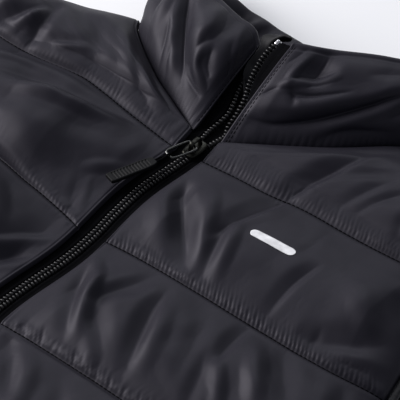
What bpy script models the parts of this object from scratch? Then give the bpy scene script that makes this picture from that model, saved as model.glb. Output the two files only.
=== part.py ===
"""A quilted vest, zipped and laid flat on its back. Tables are in millimetres, seen from the
zip at the front neck seam: x to the wearer's left, y towards the collar, z up from the table.
Blender gets metres, with the origin under the middle of the vest."""

import math

import bpy
import mathutils
import numpy as np

MM = 0.001
GAP = 0.3  # kept between pieces that are sewn or lie together
NECK_TO_MIDDLE = 232.5  # from the neck seam at the zip down to the middle of the whole length

# Body
HEM_Y = -586.0
QUILT_Y = (-586.0, -546.0, -458.0, -370.0, -282.0, -194.0, -106.0, -18.0)
QUILT_RISE = 6.0  # how much a quilt line climbs from the zip to the side
# Shoulder tip and high shoulder point, left (1) and right (-1): the right shoulder lies lower
SHOULDER_TIP = {1: (205.0, 38.0), -1: (205.0, 13.0)}
HIGH_SHOULDER = {1: (104.0, 78.0), -1: (99.0, 57.0)}
ARM_TURN = -10.0
FRONT_EDGE = 9.0  # from the zip's middle to the folded front edge
PLACKET = 5.0  # flat, topstitched strip along that edge
SEAM_HALF = 1.4  # half the thickness where layers are stitched together

# Outer edge of a half body, hem to shoulder: height, half width, front layer's z, back layer's z
OUTER_EDGE = np.array([
    (-586, 252.0, 15.5, 8.0),
    (-560, 252.5, 14.0, 10.0),
    (-370, 250.0, 13.6, 10.0),
    (-240, 260.0, 13.6, 10.0),
    (-172, 264.0, 13.6, 10.0),
    (-166, 250.0, 14.6, 9.2),
    (-155, 232.0, 16.0, 8.0),
    (-135, 215.0, 17.6, 7.0),
    (-106, 203.0, 18.6, 6.5),
    (-60, 193.5, 19.0, 6.5),
    (-10, 193.0, 18.6, 6.5),
    (20, 199.0, 17.0, 7.4),
    (38, 205.0, 14.0, 9.6),
])

# Front neck seam from the zip to the high shoulder point: x, y
NECK_LEFT = ((9, 0), (38, 19.5), (66, 40), (88, 62), HIGH_SHOULDER[1])
NECK_RIGHT = ((9, 0), (27, 6), (56, 18.5), (86, 39), HIGH_SHOULDER[-1])
BACK_NECK_Y = 55.0

# Layers: middle height, and how far a baffle swells above and below it
FRONT_Z, FRONT_RISE, FRONT_UP, FRONT_DOWN = 25.4, 2.4, 8.6, 7.6
BACK_Z, BACK_UP, BACK_DOWN = 6.5, 6.0, 7.2

# Zip: where its line wanders, y, x, and z of the tape
ZIP_LINE = np.array([
    (-586, 0.0, 22.4),
    (-480, 0.8, 22.8),
    (-390, -0.8, 22.4),
    (-300, 1.0, 22.9),
    (-240, 1.4, 22.2),
    (-182, -2.2, 22.9),
    (-125, 2.4, 22.6),
    (-62, -1.4, 22.9),
    (-17, 2.2, 22.6),
    (4, 1.6, 22.5),
])
ZIP_END_Y = -583.5
TAPE_HALF = 0.45
TOOTH_HALF_HEIGHT = 2.1
TOOTH_REACH = 2.9  # across the tape, for one row
CLOSED_GAP = 0.2  # from the zip's middle to each closed row
TAPE_TUCK = 3.6  # how far each tape reaches under the cloth
# Where the zip is open: share of the way up the collar, then from the left and the right front
# edge to that side's row of teeth, x and z
OPEN_ROWS = np.array([
    (0.10, -2.4, -1.6, 8.4, -0.6),
    (0.22, -2.8, -1.8, 9.8, -1.6),
    (0.38, -5.0, -2.4, 8.5, -2.2),
    (0.54, -9.2, -2.4, 5.5, -2.6),
    (0.70, -11.5, -2.4, 3.6, -2.6),
    (0.84, -11.9, -2.4, 3.6, -2.4),
    (0.93, -10.7, -2.2, 3.6, -2.2),
    (0.99, -9.8, -2.2, 3.6, -2.2),
])
NECK_OPEN = 2.9  # how near the rows come to the front edges at the neck seam
FLAP_HALF = 0.5
FLAP_ROWS = np.array([  # y, then x, y, z from its sewn edge, round its fold, to its free edge
    (-582, -13.5, -582, 17.6, -9, -582, 17.6, -4, -582, 17.6, 1.5, -582, 17.6, 7, -582, 17.6),
    (-300, -13, -300, 17.6, -9, -300, 17.6, -4, -300, 17.6, 2, -300, 17.6, 7.5, -300, 17.6),
    (-26, -13.5, -26, 17.6, -9, -26, 17.6, -4, -26, 17.6, 2, -26, 17.6, 7.5, -26, 17.6),
    (0, -14, 0, 17.6, -9, 0, 17.6, -4, 0, 17.6, 1.5, 0, 17.7, 7, 0, 17.8),
    (20, -15, 20, 20, -10, 20, 20.2, -5, 20, 20.6, 0.5, 20, 21, 5.5, 20, 21.5),
    (30, -15, 30, 23.7, -10, 30, 23.9, -5, 30, 24.3, -0.5, 30, 25.4, 1.8, 31, 29),
    (36, -15, 37, 26.2, -10, 36.5, 26.4, -4.4, 36, 27.2, -2.4, 36, 30, -3.2, 36, 34.4),
    (41, -15, 41, 27.2, -10.5, 41, 27.4, -4.4, 41, 28.2, -3.8, 41, 34.8, -8.4, 41, 38),
    (46, -15, 46, 28.4, -11, 46, 28.6, -5.6, 46, 29.6, -5.2, 46, 37, -10.6, 46, 39.8),
    (54, -14.5, 55, 31, -11.5, 55, 31.2, -6.3, 54.5, 32.2, -5.9, 54, 40, -11, 53.5, 42.6),
    (60, -13.5, 63.5, 32.8, -11, 63.5, 33.2, -6.2, 63, 34.6, -6.2, 61, 43.8, -11.3, 60, 45.4),
    (66, -12.5, 69, 38.5, -10, 69, 39.5, -7.5, 68.5, 41.5, -6.3, 66, 48.3, -14.5, 68, 46.8),
    (72, -7, 72.5, 43, -5.5, 72.5, 44, -4, 72.3, 46, -1.5, 70.2, 52.4, -5.5, 71.7, 49.6),
    (78, 0, 74, 46.5, 1, 74, 47.5, 2, 73.5, 49, 4, 71.2, 53.6, -0.5, 72.5, 52.6),
])

SLIDER_Y = -17.0

# Collar: place along the neck (0 zip, 1 shoulder, 2 centre back), height of its seam,
# top edge x, y, z, and how far it bows outwards between them
COLLAR_LEFT = (
    (0.00, 26.0, 8.5, 67, 55, 2.5),
    (0.12, 27.0, 18, 72, 54, 4.0),
    (0.30, 27.5, 30, 80, 52, 6.0),
    (0.58, 27.5, 58, 98, 50, 7.0),
    (0.82, 25.5, 84, 115, 43, 4.5),
    (1.00, 12.5, 105, 127, 24, 1.5),
    (1.15, 8.0, 94, 122, 12, 1.0),
    (1.50, 6.8, 56, 115, 9, 0.0),
    (2.00, 6.5, 0, 110, 9, 0.0),
)
COLLAR_RIGHT = (
    (0.00, 25.6, -12.5, 62, 43, 1.5),
    (0.14, 26.5, -21, 69, 45.5, 4.0),
    (0.32, 27.5, -35, 71, 46, 6.0),
    (0.58, 27.5, -58, 79, 45, 7.5),
    (0.82, 25.5, -86, 98, 39, 4.5),
    (1.00, 12.5, -105, 119, 25, 1.5),
    (1.15, 8.0, -95, 120, 13, 1.0),
    (1.50, 6.8, -58, 115, 9, 0.0),
    (2.00, 6.5, 0, 110, 9, 0.0),
)
COLLAR_PUFF = 3.0
SEAM_SHIFT = 2.8  # from the neck seam to the collar's own lower edge

# Largest folds of the front panels: from x, y, to x, y, height (a valley is negative), half width
FRONT_FOLDS = {
    "ridge_by_zip": (18, -36, 80, -106, 4.0, 10),
    "trough_by_zip": (4, -48, 64, -106, -3.6, 9),
    "chest_ridge": (60, -54, 92, -106, 3.0, 10),
    "chest_to_armhole": (141, -98, 196, -76, -3.4, 10),
    "waist_trough_near": (18, -134, 52, -190, -3.6, 9),
    "waist_ridge_near": (16, -118, 70, -194, 3.4, 10),
    "waist_ridge_far": (56, -116, 96, -190, 3.2, 15),
    "waist_trough_far": (100, -118, 140, -180, -3.4, 13),
    "right_from_neck": (-92, 34, -24, -24, 3.2, 11),
    "right_shoulder": (-134, -40, -100, 4, -3.6, 11),
    "right_armhole": (-156, -16, -134, 26, -3.6, 11),
    "right_chest": (-100, -42, -26, -46, 2.6, 12),
    "right_by_zip": (-30, -78, -4, -114, 3.0, 9),
}
# Folds of the collar, left and right: share of the way up, or place along, depth and half width
COLLAR_BUCKLE = ((0.30, -3.2, 0.12), (0.56, 2.4, 0.22))
COLLAR_CREASE = ((0.32, 1.8, 0.07), (0.43, -3.2, 0.07), (0.55, 2.2, 0.09))

# Pull: its place and the way it points, turned from the hem to the wearer's right
PULL_TURN = math.radians(17.5)
LUG_Z = 29.8
WIRE = 0.75


def smooth(keys, rows, at):
    """Rows at each key of `at`, on the smooth curve through the table."""
    keys, at = np.asarray(keys, float), np.atleast_1d(np.asarray(at, float))
    rows = np.asarray(rows, float).reshape(len(keys), -1)
    slopes = np.gradient(rows, keys, axis=0)
    low = np.clip(np.searchsorted(keys, at, side="right") - 1, 0, len(keys) - 2)
    step = (keys[low + 1] - keys[low])[:, None]
    t = (np.clip(at, keys[0], keys[-1]) - keys[low])[:, None] / step
    return (
        (2 * t**3 - 3 * t**2 + 1) * rows[low]
        + (t**3 - 2 * t**2 + t) * step * slopes[low]
        + (3 * t**2 - 2 * t**3) * rows[low + 1]
        + (t**3 - t**2) * step * slopes[low + 1]
    )


def straight(table, at):
    """The table's other columns at each key of `at`, on straight lines."""
    return np.stack([np.interp(at, table[:, 0], column) for column in table.T[1:]], axis=-1)


def unit(vectors):
    return vectors / np.linalg.norm(vectors, axis=-1, keepdims=True)


def material(name, colour, roughness, metallic=0.0):
    made = bpy.data.materials.new(name)
    made.use_nodes = True
    shader = made.node_tree.nodes["Principled BSDF"]
    shader.inputs["Base Color"].default_value = (*colour, 1.0)
    shader.inputs["Roughness"].default_value = roughness
    shader.inputs["Metallic"].default_value = metallic
    return made


def add_mesh(name, points, faces, finish):
    """A mesh object from points in the tables' millimetres."""
    mesh = bpy.data.meshes.new(name)
    placed = (np.asarray(points, float) + (0.0, NECK_TO_MIDDLE, 0.0)) * MM
    mesh.from_pydata(placed.tolist(), [], [list(face) for face in faces])
    mesh.update()
    mesh.materials.append(finish)
    mesh.shade_smooth()
    mesh.set_sharp_from_angle(angle=math.radians(50))
    made = bpy.data.objects.new(name, mesh)
    bpy.context.collection.objects.link(made)
    return made


def slab(name, top, bottom, finish):
    """One closed solid between two grids of points, rows by columns, seen from above."""
    rows, columns = top.shape[:2]
    points = np.concatenate([top.reshape(-1, 3), bottom.reshape(-1, 3)])
    under = rows * columns
    index = np.arange(under).reshape(rows, columns)
    faces = []
    for r in range(rows - 1):
        for c in range(columns - 1):
            a, b = index[r, c], index[r, c + 1]
            d, e = index[r + 1, c], index[r + 1, c + 1]
            faces += [(a, b, e, d), (under + a, under + d, under + e, under + b)]
    rim = np.concatenate([index[0], index[1:, -1], index[-1, -2::-1], index[-2:0:-1, 0]])
    for a, b in zip(rim, np.roll(rim, -1)):
        faces.append((b, a, under + a, under + b))
    made = add_mesh(name, points, faces, finish)
    if volume_of(points, faces) < 0:
        made.data.flip_normals()
    return made


def volume_of(points, faces):
    total = 0.0
    for a, b, c, d in faces:
        total += np.dot(points[a], np.cross(points[b], points[c]))
        total += np.dot(points[a], np.cross(points[c], points[d]))
    return total


def outer_edge(y, side=1):
    """Half width and both layers' heights at y, on the left (1) or the right (-1) side."""
    y = np.asarray(y, float)
    above = (OUTER_EDGE[-1, 0] - ARM_TURN) / (SHOULDER_TIP[side][1] - ARM_TURN)
    return straight(OUTER_EDGE, np.where(y > ARM_TURN, ARM_TURN + (y - ARM_TURN) * above, y))


def neck_seam(side, at):
    """x, y of the neck seam at each place: 0 zip, 1 high shoulder point, 2 centre back."""
    front = NECK_LEFT if side > 0 else NECK_RIGHT
    at = np.atleast_1d(at)
    first = smooth(np.linspace(0, 1, len(front)), front, np.minimum(at, 1))
    turn = np.clip(at - 1, 0, 1) * math.pi / 2
    high_x, high_y = HIGH_SHOULDER[side]
    back_x = high_x * np.cos(turn)
    back_y = high_y + (BACK_NECK_Y - high_y) * np.sin(turn) ** 0.8
    seam = np.where((at <= 1)[:, None], first, np.stack([back_x, back_y], axis=-1))
    return seam * (side, 1.0)


def zip_line(y):
    return smooth(ZIP_LINE[:, 0], ZIP_LINE[:, 1:], y)


def falling(distance, width):
    """1 at an edge, falling to 0 at `width` from it, as a quarter round."""
    left = 1 - np.clip(distance / width, 0, 1)
    return 1 - np.sqrt(1 - left**2)


def swelling(share):
    """How full a baffle is between its two quilt lines."""
    return np.sin(np.pi * np.clip(share, 0, 1)) ** 0.6


def front_folds(flat):
    """Height that the largest folds add at each x, y."""
    total = np.zeros(flat.shape[:-1])
    for x0, y0, x1, y1, height, half in FRONT_FOLDS.values():
        start, along = np.array((x0, y0), float), np.array((x1 - x0, y1 - y0), float)
        share = np.clip((flat - start) @ along / (along @ along), 0, 1)
        nearest = start + share[..., None] * along
        away = np.linalg.norm(flat - nearest, axis=-1) / half
        total += height * np.cos(np.clip(away, 0, 1) * math.pi / 2) ** 2
    return total


def body_rows():
    """The rows below the shoulder baffle: height at the zip, and share of the way up its baffle."""
    rows = []
    for low, high in zip(QUILT_Y, QUILT_Y[1:]):
        shares = (0, 0.5) if high - low < 50 else (0, 0.2, 0.8)
        if low == QUILT_Y[-3]:
            shares = (0, 0.12, 0.25, 0.33, 0.45, 0.68, 0.87)
        elif low == QUILT_Y[-2]:
            shares = (0, 0.12, 0.3, 0.5, 0.7, 0.88)
        rows += [(low + share * (high - low), share) for share in shares]
    return rows


COLUMNS = np.array([0, 0.02, 0.055, 0.1, 0.15, 0.2, 0.26, 0.33, 0.41, 0.5, 0.6, 0.7, 0.8, 0.89, 0.96, 1])


def front_panel(side, name, finish):
    """One padded front, between the zip edge and neck seam and the side seam and armhole."""
    inner, outer, share, to_shoulder = [], [], [], []
    for y, part in body_rows():
        inner.append((side * FRONT_EDGE + zip_line(y)[0, 0], y))
        rise = QUILT_RISE * np.clip((y - HEM_Y) / 60, 0, 1)
        outer.append((side * outer_edge(y + rise)[0], y + rise))
        share.append(part)
        to_shoulder.append(200.0)
    last = QUILT_Y[-1]
    for part in (0, 0.12, 0.3, 0.5, 0.7, 0.88, 1):
        if part == 0:
            inner.append((side * FRONT_EDGE + zip_line(last)[0, 0], last))
        else:
            inner.append(tuple(neck_seam(side, (part - 0.12) / 0.88)[0]))
        climb = last + QUILT_RISE + part * (SHOULDER_TIP[side][1] - last - QUILT_RISE)
        outer.append((side * outer_edge(climb, side)[0], climb))
        share.append(part)
        to_shoulder.append((1 - part) * 96.0)
    inner, outer = np.array(inner)[:, None], np.array(outer)[:, None]
    share, to_shoulder = np.array(share)[:, None], np.array(to_shoulder)[:, None]
    flat = inner + (outer - inner) * COLUMNS[None, :, None]
    length = np.linalg.norm(outer - inner, axis=-1)
    from_inner, from_outer = length * COLUMNS, length * (1 - COLUMNS)
    edge_z = outer_edge(outer[:, 0, 1], side)[:, 1][:, None]
    shoulder_z = OUTER_EDGE[-1, 2]
    middle = FRONT_Z + FRONT_RISE * np.clip((from_inner - PLACKET) / 70, 0, 1)
    to_edge, over = falling(from_outer, 45), falling(to_shoulder, 40)
    middle = middle - (middle - edge_z) * to_edge
    middle = middle - (middle - shoulder_z) * over * (1 - to_edge)
    full = swelling(share) * np.clip((from_inner - PLACKET) / 18, 0, 1) ** 0.6
    full = full * np.clip(from_outer / 30, 0, 1) ** 0.7
    top = np.dstack([flat, middle + SEAM_HALF + (FRONT_UP + front_folds(flat)) * full])
    bottom = np.dstack([flat, middle - SEAM_HALF - FRONT_DOWN * full])
    return slab(name, top, bottom, finish)


def back_panel(finish):
    """The padded back, pressed flat against the table under its baffles."""
    across = np.array([0, 0.02, 0.08, 0.18, 0.3, 0.5])
    across = np.concatenate([across, 1 - across[-2::-1]]) * 2 - 1
    neck_share = HIGH_SHOULDER[1][0] / SHOULDER_TIP[1][0]
    flat, share, to_seam = [], [], []
    for y, part in body_rows():
        rise = QUILT_RISE * np.clip((y - HEM_Y) / 60, 0, 1)
        climb = y + rise * np.abs(across)
        flat.append(np.stack([across * outer_edge(y + rise)[0], climb], axis=-1))
        share.append(part)
        to_seam.append(np.full(len(across), 200.0))
    low_y = QUILT_Y[-1] + QUILT_RISE * np.abs(across)
    low = np.stack([across * outer_edge(QUILT_Y[-1] + QUILT_RISE)[0], low_y], axis=-1)
    high = []
    for place in across * SHOULDER_TIP[1][0]:
        side = 1 if place >= 0 else -1
        (tip_x, tip_y), (high_x, high_y) = SHOULDER_TIP[side], HIGH_SHOULDER[side]
        if abs(place) > high_x:
            y = high_y + (abs(place) - high_x) / (tip_x - high_x) * (tip_y - high_y)
        else:
            at = 1 + math.acos(abs(place) / high_x) / (math.pi / 2)
            y = neck_seam(side, at)[0, 1]
        high.append((place, y))
    high = np.array(high)
    for part in (0, 0.15, 0.4, 0.65, 0.85, 0.95, 1):
        rows = low + (high - low) * part
        left, right = outer_edge(rows[-1, 1])[0], outer_edge(rows[0, 1], -1)[0]
        rows[:, 0] *= np.where(rows[:, 0] < 0, right / abs(rows[0, 0]), left / rows[-1, 0])
        flat.append(rows)
        share.append(part)
        to_seam.append((1 - part) * 80.0 + 40.0 * (np.abs(across) < neck_share))
    flat, to_seam = np.array(flat), np.array(to_seam)
    share = np.array(share)[:, None]
    half = np.where(flat[..., 0] < 0, -flat[:, :1, 0], flat[:, -1:, 0])
    from_edge = half - np.abs(flat[..., 0])
    edge_z = outer_edge(flat[:, -1, 1])[:, 2][:, None]
    to_edge, over = falling(from_edge, 32), falling(to_seam, 34)
    middle = BACK_Z + (edge_z - BACK_Z) * to_edge
    middle = middle + (OUTER_EDGE[-1, 3] - middle) * over * (1 - to_edge)
    full = swelling(share) * np.clip(from_edge / 26, 0, 1) ** 0.7
    top = np.dstack([flat, middle + SEAM_HALF + BACK_UP * full])
    bottom = np.dstack([flat, np.maximum(middle - SEAM_HALF - BACK_DOWN * full, 0)])
    return slab("back_panel", top, bottom, finish)


def collar_surface(at, up):
    """Points of the collar's middle layer and its outward directions, a row for each `up` from
    seam (0) to top (1). `at` runs from the left front edge (0) round the back (2) to the right
    front edge (4)."""
    at, up = np.asarray(at, float), np.asarray(up, float)
    place = np.where(at <= 2, at, 4 - at)
    left, right = np.array(COLLAR_LEFT), np.array(COLLAR_RIGHT)
    on_left = smooth(left[:, 0], left[:, 1:], place)
    on_right = smooth(right[:, 0], right[:, 1:], place)
    values = np.where((at <= 2)[:, None], on_left, on_right)
    seam = np.where((at <= 2)[:, None], neck_seam(1, place), neck_seam(-1, place))
    side = np.where(at <= 2, 1.0, -1.0)
    before, after = np.clip(place - 0.02, 0, 0.98), np.clip(place + 0.02, 0.02, 1)
    along = np.where((at <= 2)[:, None], neck_seam(1, after) - neck_seam(1, before),
                     neck_seam(-1, after) - neck_seam(-1, before))
    inward = unit(np.stack([-side * along[:, 1], side * along[:, 0]], axis=-1))
    straight_up = np.clip(np.maximum(1 - place / 0.1, (place - 0.8) / 0.3), 0, 1)[:, None]
    inward = unit(inward * (1 - straight_up) + np.array((0.0, 1.0)) * straight_up)
    low = np.column_stack([seam + SEAM_SHIFT * inward, values[:, 0]])
    high = values[:, 1:4]
    middle = low + (high - low) * up[:, None, None]
    outward = np.cross(np.gradient(low + high, axis=0), high - low)
    outward = unit(outward)
    bow = 4 * up * (1 - up)
    middle = middle + outward * values[:, 4:5] * bow[:, None, None]
    normal = unit(np.cross(np.gradient(middle, axis=1), np.gradient(middle, axis=0)))
    return middle, normal


COLLAR_UP = np.array([0, 0.08, 0.19, 0.3, 0.42, 0.58, 0.76, 0.91, 1])


def collar_folds(at, up):
    """How far the collar's outer face stands out at each `up` and `at` by its folds."""
    place = np.where(at <= 2, at, 4 - at)[None, :]
    near = np.clip((place - 0.06) / 0.12, 0, 1) * np.clip((1.15 - place) / 0.2, 0, 1)
    buckle, crease = 0.0, 0.0
    for middle, height, half in COLLAR_BUCKLE:
        away = np.abs(up[:, None] - middle) / half
        buckle = buckle + height * np.cos(np.clip(away, 0, 1) * math.pi / 2) ** 2
    for middle, height, half in COLLAR_CREASE:
        away = np.abs(place - middle) / half
        crease = crease + height * np.cos(np.clip(away, 0, 1) * math.pi / 2) ** 2
    crease = crease * np.sin(np.pi * up[:, None]) ** 0.5
    return np.where(at[None, :] <= 2, buckle * near, crease)


def collar(finish):
    at = np.concatenate([[0, 0.05, 0.12], np.linspace(0.2, 0.8, 9), [0.88, 0.95, 1.0, 1.05],
                         [1.12, 1.3, 1.6]])
    at = np.concatenate([at, [2.0], 4 - at[::-1]])
    middle, normal = collar_surface(at, COLLAR_UP)
    place = np.where(at <= 2, at, 4 - at)
    ends = np.clip((place - 0.05) / 0.12, 0, 1) ** 0.6
    full = swelling(COLLAR_UP)[:, None] * ends
    half = (SEAM_HALF + COLLAR_PUFF * full)[..., None]
    folds = (collar_folds(at, COLLAR_UP) * full)[..., None]
    outer, inner = middle + normal * (half + folds), middle - normal * half
    inner[..., 2] = np.maximum(inner[..., 2], 0.6)
    outer[..., 2] = np.maximum(outer[..., 2], 0.6)
    return slab("collar", outer, inner, finish)


def front_lines(side):
    """The folded front edge from hem to collar top, at the level of the tape below it, and
    the line that the tape reaches to under the cloth."""
    body_y = np.concatenate([np.linspace(ZIP_END_Y, -60, 22), [-40, -22, -16, -11, -6, 0, 4.5]])
    line = zip_line(body_y)
    body = np.column_stack([line[:, 0] + side * FRONT_EDGE, body_y, line[:, 1]])
    under = body + (side * TAPE_TUCK, 0, 0)
    at = np.array([0.0, 0.035, 0.1, 3.9, 3.965, 4.0])
    up = OPEN_ROWS[:, 0]
    middle, normal = collar_surface(at, up)
    first, second = (0, 1) if side > 0 else (-1, -2)
    down = SEAM_HALF + TAPE_HALF + 4 * GAP
    edge = middle[:, first] - normal[:, first] * down
    inside = edge + unit(middle[:, second] - middle[:, first]) * TAPE_TUCK
    return np.vstack([body, edge]), np.vstack([under, inside])


def teeth_line(side):
    """The middle of one row of teeth."""
    edge, _ = front_lines(side)
    y = edge[:, 1]
    below_collar = 1.0 if side > 0 else 0.35
    open_share = np.clip((y + 9) / 12, 0, 1)[:, None] * np.where(y < 7, below_collar, 1.0)[:, None]
    round_post = 1.5 * np.clip((y + 16) / 4, 0, 1)
    line = zip_line(np.minimum(y, 0))
    x = line[:, 0] + side * (CLOSED_GAP + TOOTH_REACH / 2 + round_post)
    closed = np.column_stack([x, y, line[:, 1]])
    opened = edge.copy()
    columns = (1, 2) if side > 0 else (3, 4)
    opened[:-len(OPEN_ROWS), 0] -= side * NECK_OPEN
    opened[-len(OPEN_ROWS):, (0, 2)] += OPEN_ROWS[:, columns]
    return closed * (1 - open_share) + opened * open_share


def cloth_strip(name, rows, half, finish):
    """A strip through rows of points, `half` thick each way."""
    along, across = np.gradient(rows, axis=0), np.gradient(rows, axis=1)
    normal = unit(np.cross(along, across))
    normal = normal * np.sign(normal[..., 2:3])
    return slab(name, rows + normal * half, rows - normal * half, finish)


def zip_tape(side, name, finish):
    edge, under = front_lines(side)
    teeth = teeth_line(side)
    inner = teeth + unit(edge - teeth) * (TOOTH_REACH / 2 + 2 * GAP + 0.1)
    rows = np.stack([under, edge, inner], axis=1)
    return cloth_strip(name, rows, TAPE_HALF, finish)


def zip_teeth(side, name, finish):
    edge, teeth = front_lines(side)[0][:-1], teeth_line(side)[:-1]
    reach = unit(edge - teeth) * TOOTH_REACH / 2
    return cloth_strip(name, np.stack([teeth + reach, teeth - reach], axis=1), TOOTH_HALF_HEIGHT, finish)


def wind_flap(finish):
    """Strip behind the zip, held on the wearer's right. Past the neck seam its free half folds
    back over the right row of teeth, and its end turns over the top of the zip."""
    at = np.concatenate([np.linspace(-582, -26, 10), [0, 20, 30, 36, 41, 46, 54, 60, 66, 69, 72, 78]])
    rows = smooth(FLAP_ROWS[:, 0], FLAP_ROWS[:, 1:], at).reshape(len(at), 5, 3)
    normal = unit(np.cross(np.gradient(rows, axis=0), np.gradient(rows, axis=1)))
    normal = normal * np.sign(normal[:, :1, 2:3])
    return slab("wind_flap", rows + normal * FLAP_HALF, rows - normal * FLAP_HALF, finish)


def tube(name, points, radius, finish, closed=False, sides=2):
    """A round bar through the points, in the tables' millimetres."""
    data = bpy.data.curves.new(name, "CURVE")
    data.dimensions = "3D"
    data.bevel_depth = radius * MM
    data.bevel_resolution = sides
    data.use_fill_caps = not closed
    spline = data.splines.new("POLY")
    spline.points.add(len(points) - 1)
    placed = (np.asarray(points, float) + (0.0, NECK_TO_MIDDLE, 0.0)) * MM
    for point, place in zip(spline.points, placed):
        point.co = (*place, 1.0)
    spline.use_cyclic_u = closed
    data.materials.append(finish)
    made = bpy.data.objects.new(name, data)
    bpy.context.collection.objects.link(made)
    return made


BINDING = 2.3


def armhole_binding(side, name, finish):
    """A closed ring along the front layer's armhole edge and back along the back layer's."""
    reach = BINDING + 1.9
    y = np.array([-169, -165, -155, -135, -106, -82, -60, -35, -10])
    y = np.append(y, ARM_TURN + np.array([0.375, 0.667, 0.896]) * (SHOULDER_TIP[side][1] - ARM_TURN))
    edge = outer_edge(y, side)
    line = np.column_stack([edge[:, 0], y])
    along = unit(np.gradient(line, axis=0))
    out = np.stack([along[:, 1], -along[:, 0]], axis=-1)
    line = line + reach * out
    low_end, high_end = line[0] + (9.0, -2.6), line[-1] + (4.5, 4.0)
    front = np.column_stack([line, edge[:, 1]])
    back = np.column_stack([line, edge[:, 2] - 0.6])
    ring = np.vstack([front, (*high_end, 14.2), (*high_end, 8.6), back[::-1], (*low_end, 8.6),
                      (*low_end, 14.6)])
    return tube(name, ring * (side, 1, 1), BINDING, finish, closed=True, sides=1)


def hem_binding(finish):
    """One strip along the front hem, round each side and along the back hem."""
    y = HEM_Y - BINDING - 0.6
    across = np.array([12, 40, 80, 120, 160, 195, 225, 244])
    front_z = np.interp(across, (12, 160, 244), (24.6, 23.6, 16.5))
    half = [(x, y, z) for x, z in zip(across, front_z)] + [(253.5, y, 12.4)]
    back = [(x, y, 7.2 - 1.2 * (1 - x / 244)) for x in (244, 215, 170, 120, 60)]
    left = np.array(half + back)
    path = np.vstack([left, [(0, y, 6.0)], left[::-1] * (-1, 1, 1)])
    return tube("hem_binding", path, BINDING, finish, sides=1)


def boxed(name, low, high, finish, bevel=0.0):
    """A block between two corners, its edges rounded by `bevel`."""
    (x0, y0, z0), (x1, y1, z1) = low, high
    points = [(x, y, z) for z in (z0, z1) for y in (y0, y1) for x in (x0, x1)]
    faces = [(0, 2, 3, 1), (4, 5, 7, 6), (0, 1, 5, 4), (2, 6, 7, 3), (0, 4, 6, 2), (1, 3, 7, 5)]
    made = add_mesh(name, points, faces, finish)
    if bevel:
        edge = made.modifiers.new("rounded", "BEVEL")
        edge.width, edge.segments = bevel * MM, 1
    return made


def plate(name, outline, low, high, finish):
    """A flat plate of the given outline between two heights."""
    count = len(outline)
    points = [(x, y, low) for x, y in outline] + [(x, y, high) for x, y in outline]
    faces = [tuple(range(count))[::-1], tuple(range(count, 2 * count))]
    faces += [(i, (i + 1) % count, count + (i + 1) % count, count + i) for i in range(count)]
    return add_mesh(name, points, faces, finish)


def join(base, *others):
    """Unites helper meshes with the base by Boolean modifiers, and hides the helpers."""
    for other in others:
        merge = base.modifiers.new(other.name, "BOOLEAN")
        merge.operation, merge.object = "UNION", other
        other.hide_render = True
        other.display_type = "WIRE"
    return base


SLIDER_HALF_LENGTH = 8.2


def zip_slider(finish):
    """Two shield plates with the teeth between them, joined at the wide end, and a lug on top."""
    (x, z), y = zip_line(SLIDER_Y)[0], SLIDER_Y
    half = SLIDER_HALF_LENGTH
    outline = [(-3.4, -half), (3.4, -half), (4.9, -half + 3), (5.4, 1.5), (4.9, half - 2.5),
               (3.0, half), (-3.0, half), (-4.9, half - 2.5), (-5.4, 1.5), (-4.9, -half + 3)]
    outline = [(x + dx, y + dy) for dx, dy in outline]
    above, below = z + TOOTH_HALF_HEIGHT + 1.3 * GAP, z - TOOTH_HALF_HEIGHT - 1.3 * GAP
    top = plate("zip_slider", outline, above, above + 1.7, finish)
    base = plate("slider_base", outline, below - 1.3, below, finish)
    post = boxed("slider_post", (x - 0.9, y + half - 2.4, below - 0.6),
                 (x + 0.9, y + half - 0.5, above + 0.6), finish)
    lug = [boxed("lug_foot", (x - 1.5, y + 3.4, above + 1.0), (x + 1.5, y + 5.4, LUG_Z + 2.4), finish),
           boxed("lug_heel", (x - 1.5, y - 5.3, above + 1.0), (x + 1.5, y - 3.5, LUG_Z + 2.4), finish),
           boxed("lug_roof", (x - 1.5, y - 5.3, LUG_Z + 1.3), (x + 1.5, y + 5.4, LUG_Z + 2.9), finish)]
    return join(top, base, post, *lug)


def pull_frame():
    """The hinge's place in the lug, the way the pull points, and its sideways direction."""
    x = zip_line(SLIDER_Y)[0, 0]
    hinge = np.array((x, SLIDER_Y - 1.6, LUG_Z))
    away = np.array((-math.sin(PULL_TURN), -math.cos(PULL_TURN), 0.0))
    sideways = np.array((-away[1], away[0], 0.0))
    return hinge, away, sideways


LOOP_LENGTH, LOOP_HALF = 17.5, 4.6
CORD_LENGTH = 9.0
TAB_LENGTH, TAB_HALF, TAB_THICK = 32.0, 3.9, 2.6
TAB_NEAR_RISE, TAB_FAR_RISE = 0.8, 2.6  # the tab lies on the swelling right front


def put_origin_on_hinge(made):
    """Moves the origin to the hinge and leaves the shape where it is."""
    hinge = mathutils.Vector((pull_frame()[0] + (0.0, NECK_TO_MIDDLE, 0.0)) * MM)
    made.data.transform(mathutils.Matrix.Translation(-hinge))
    made.location = hinge
    return made


def pull_loop(finish):
    """A bent wire: one bar through the lug, the other out at the cord."""
    hinge, away, sideways = pull_frame()
    outline = []
    for along, wide in ((0, 0.55), (0.05, 0.95), (0.25, 1), (0.8, 0.92), (0.94, 0.8), (1, 0.5)):
        outline.append((along * LOOP_LENGTH, wide * LOOP_HALF))
    path = outline + [(a, -w) for a, w in outline[::-1]]
    points = [hinge + away * a + sideways * w + (0, 0, 0.05 * max(a, 0)) for a, w in path]
    return put_origin_on_hinge(tube("pull_loop", points, WIRE, finish, closed=True, sides=1))


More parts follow.
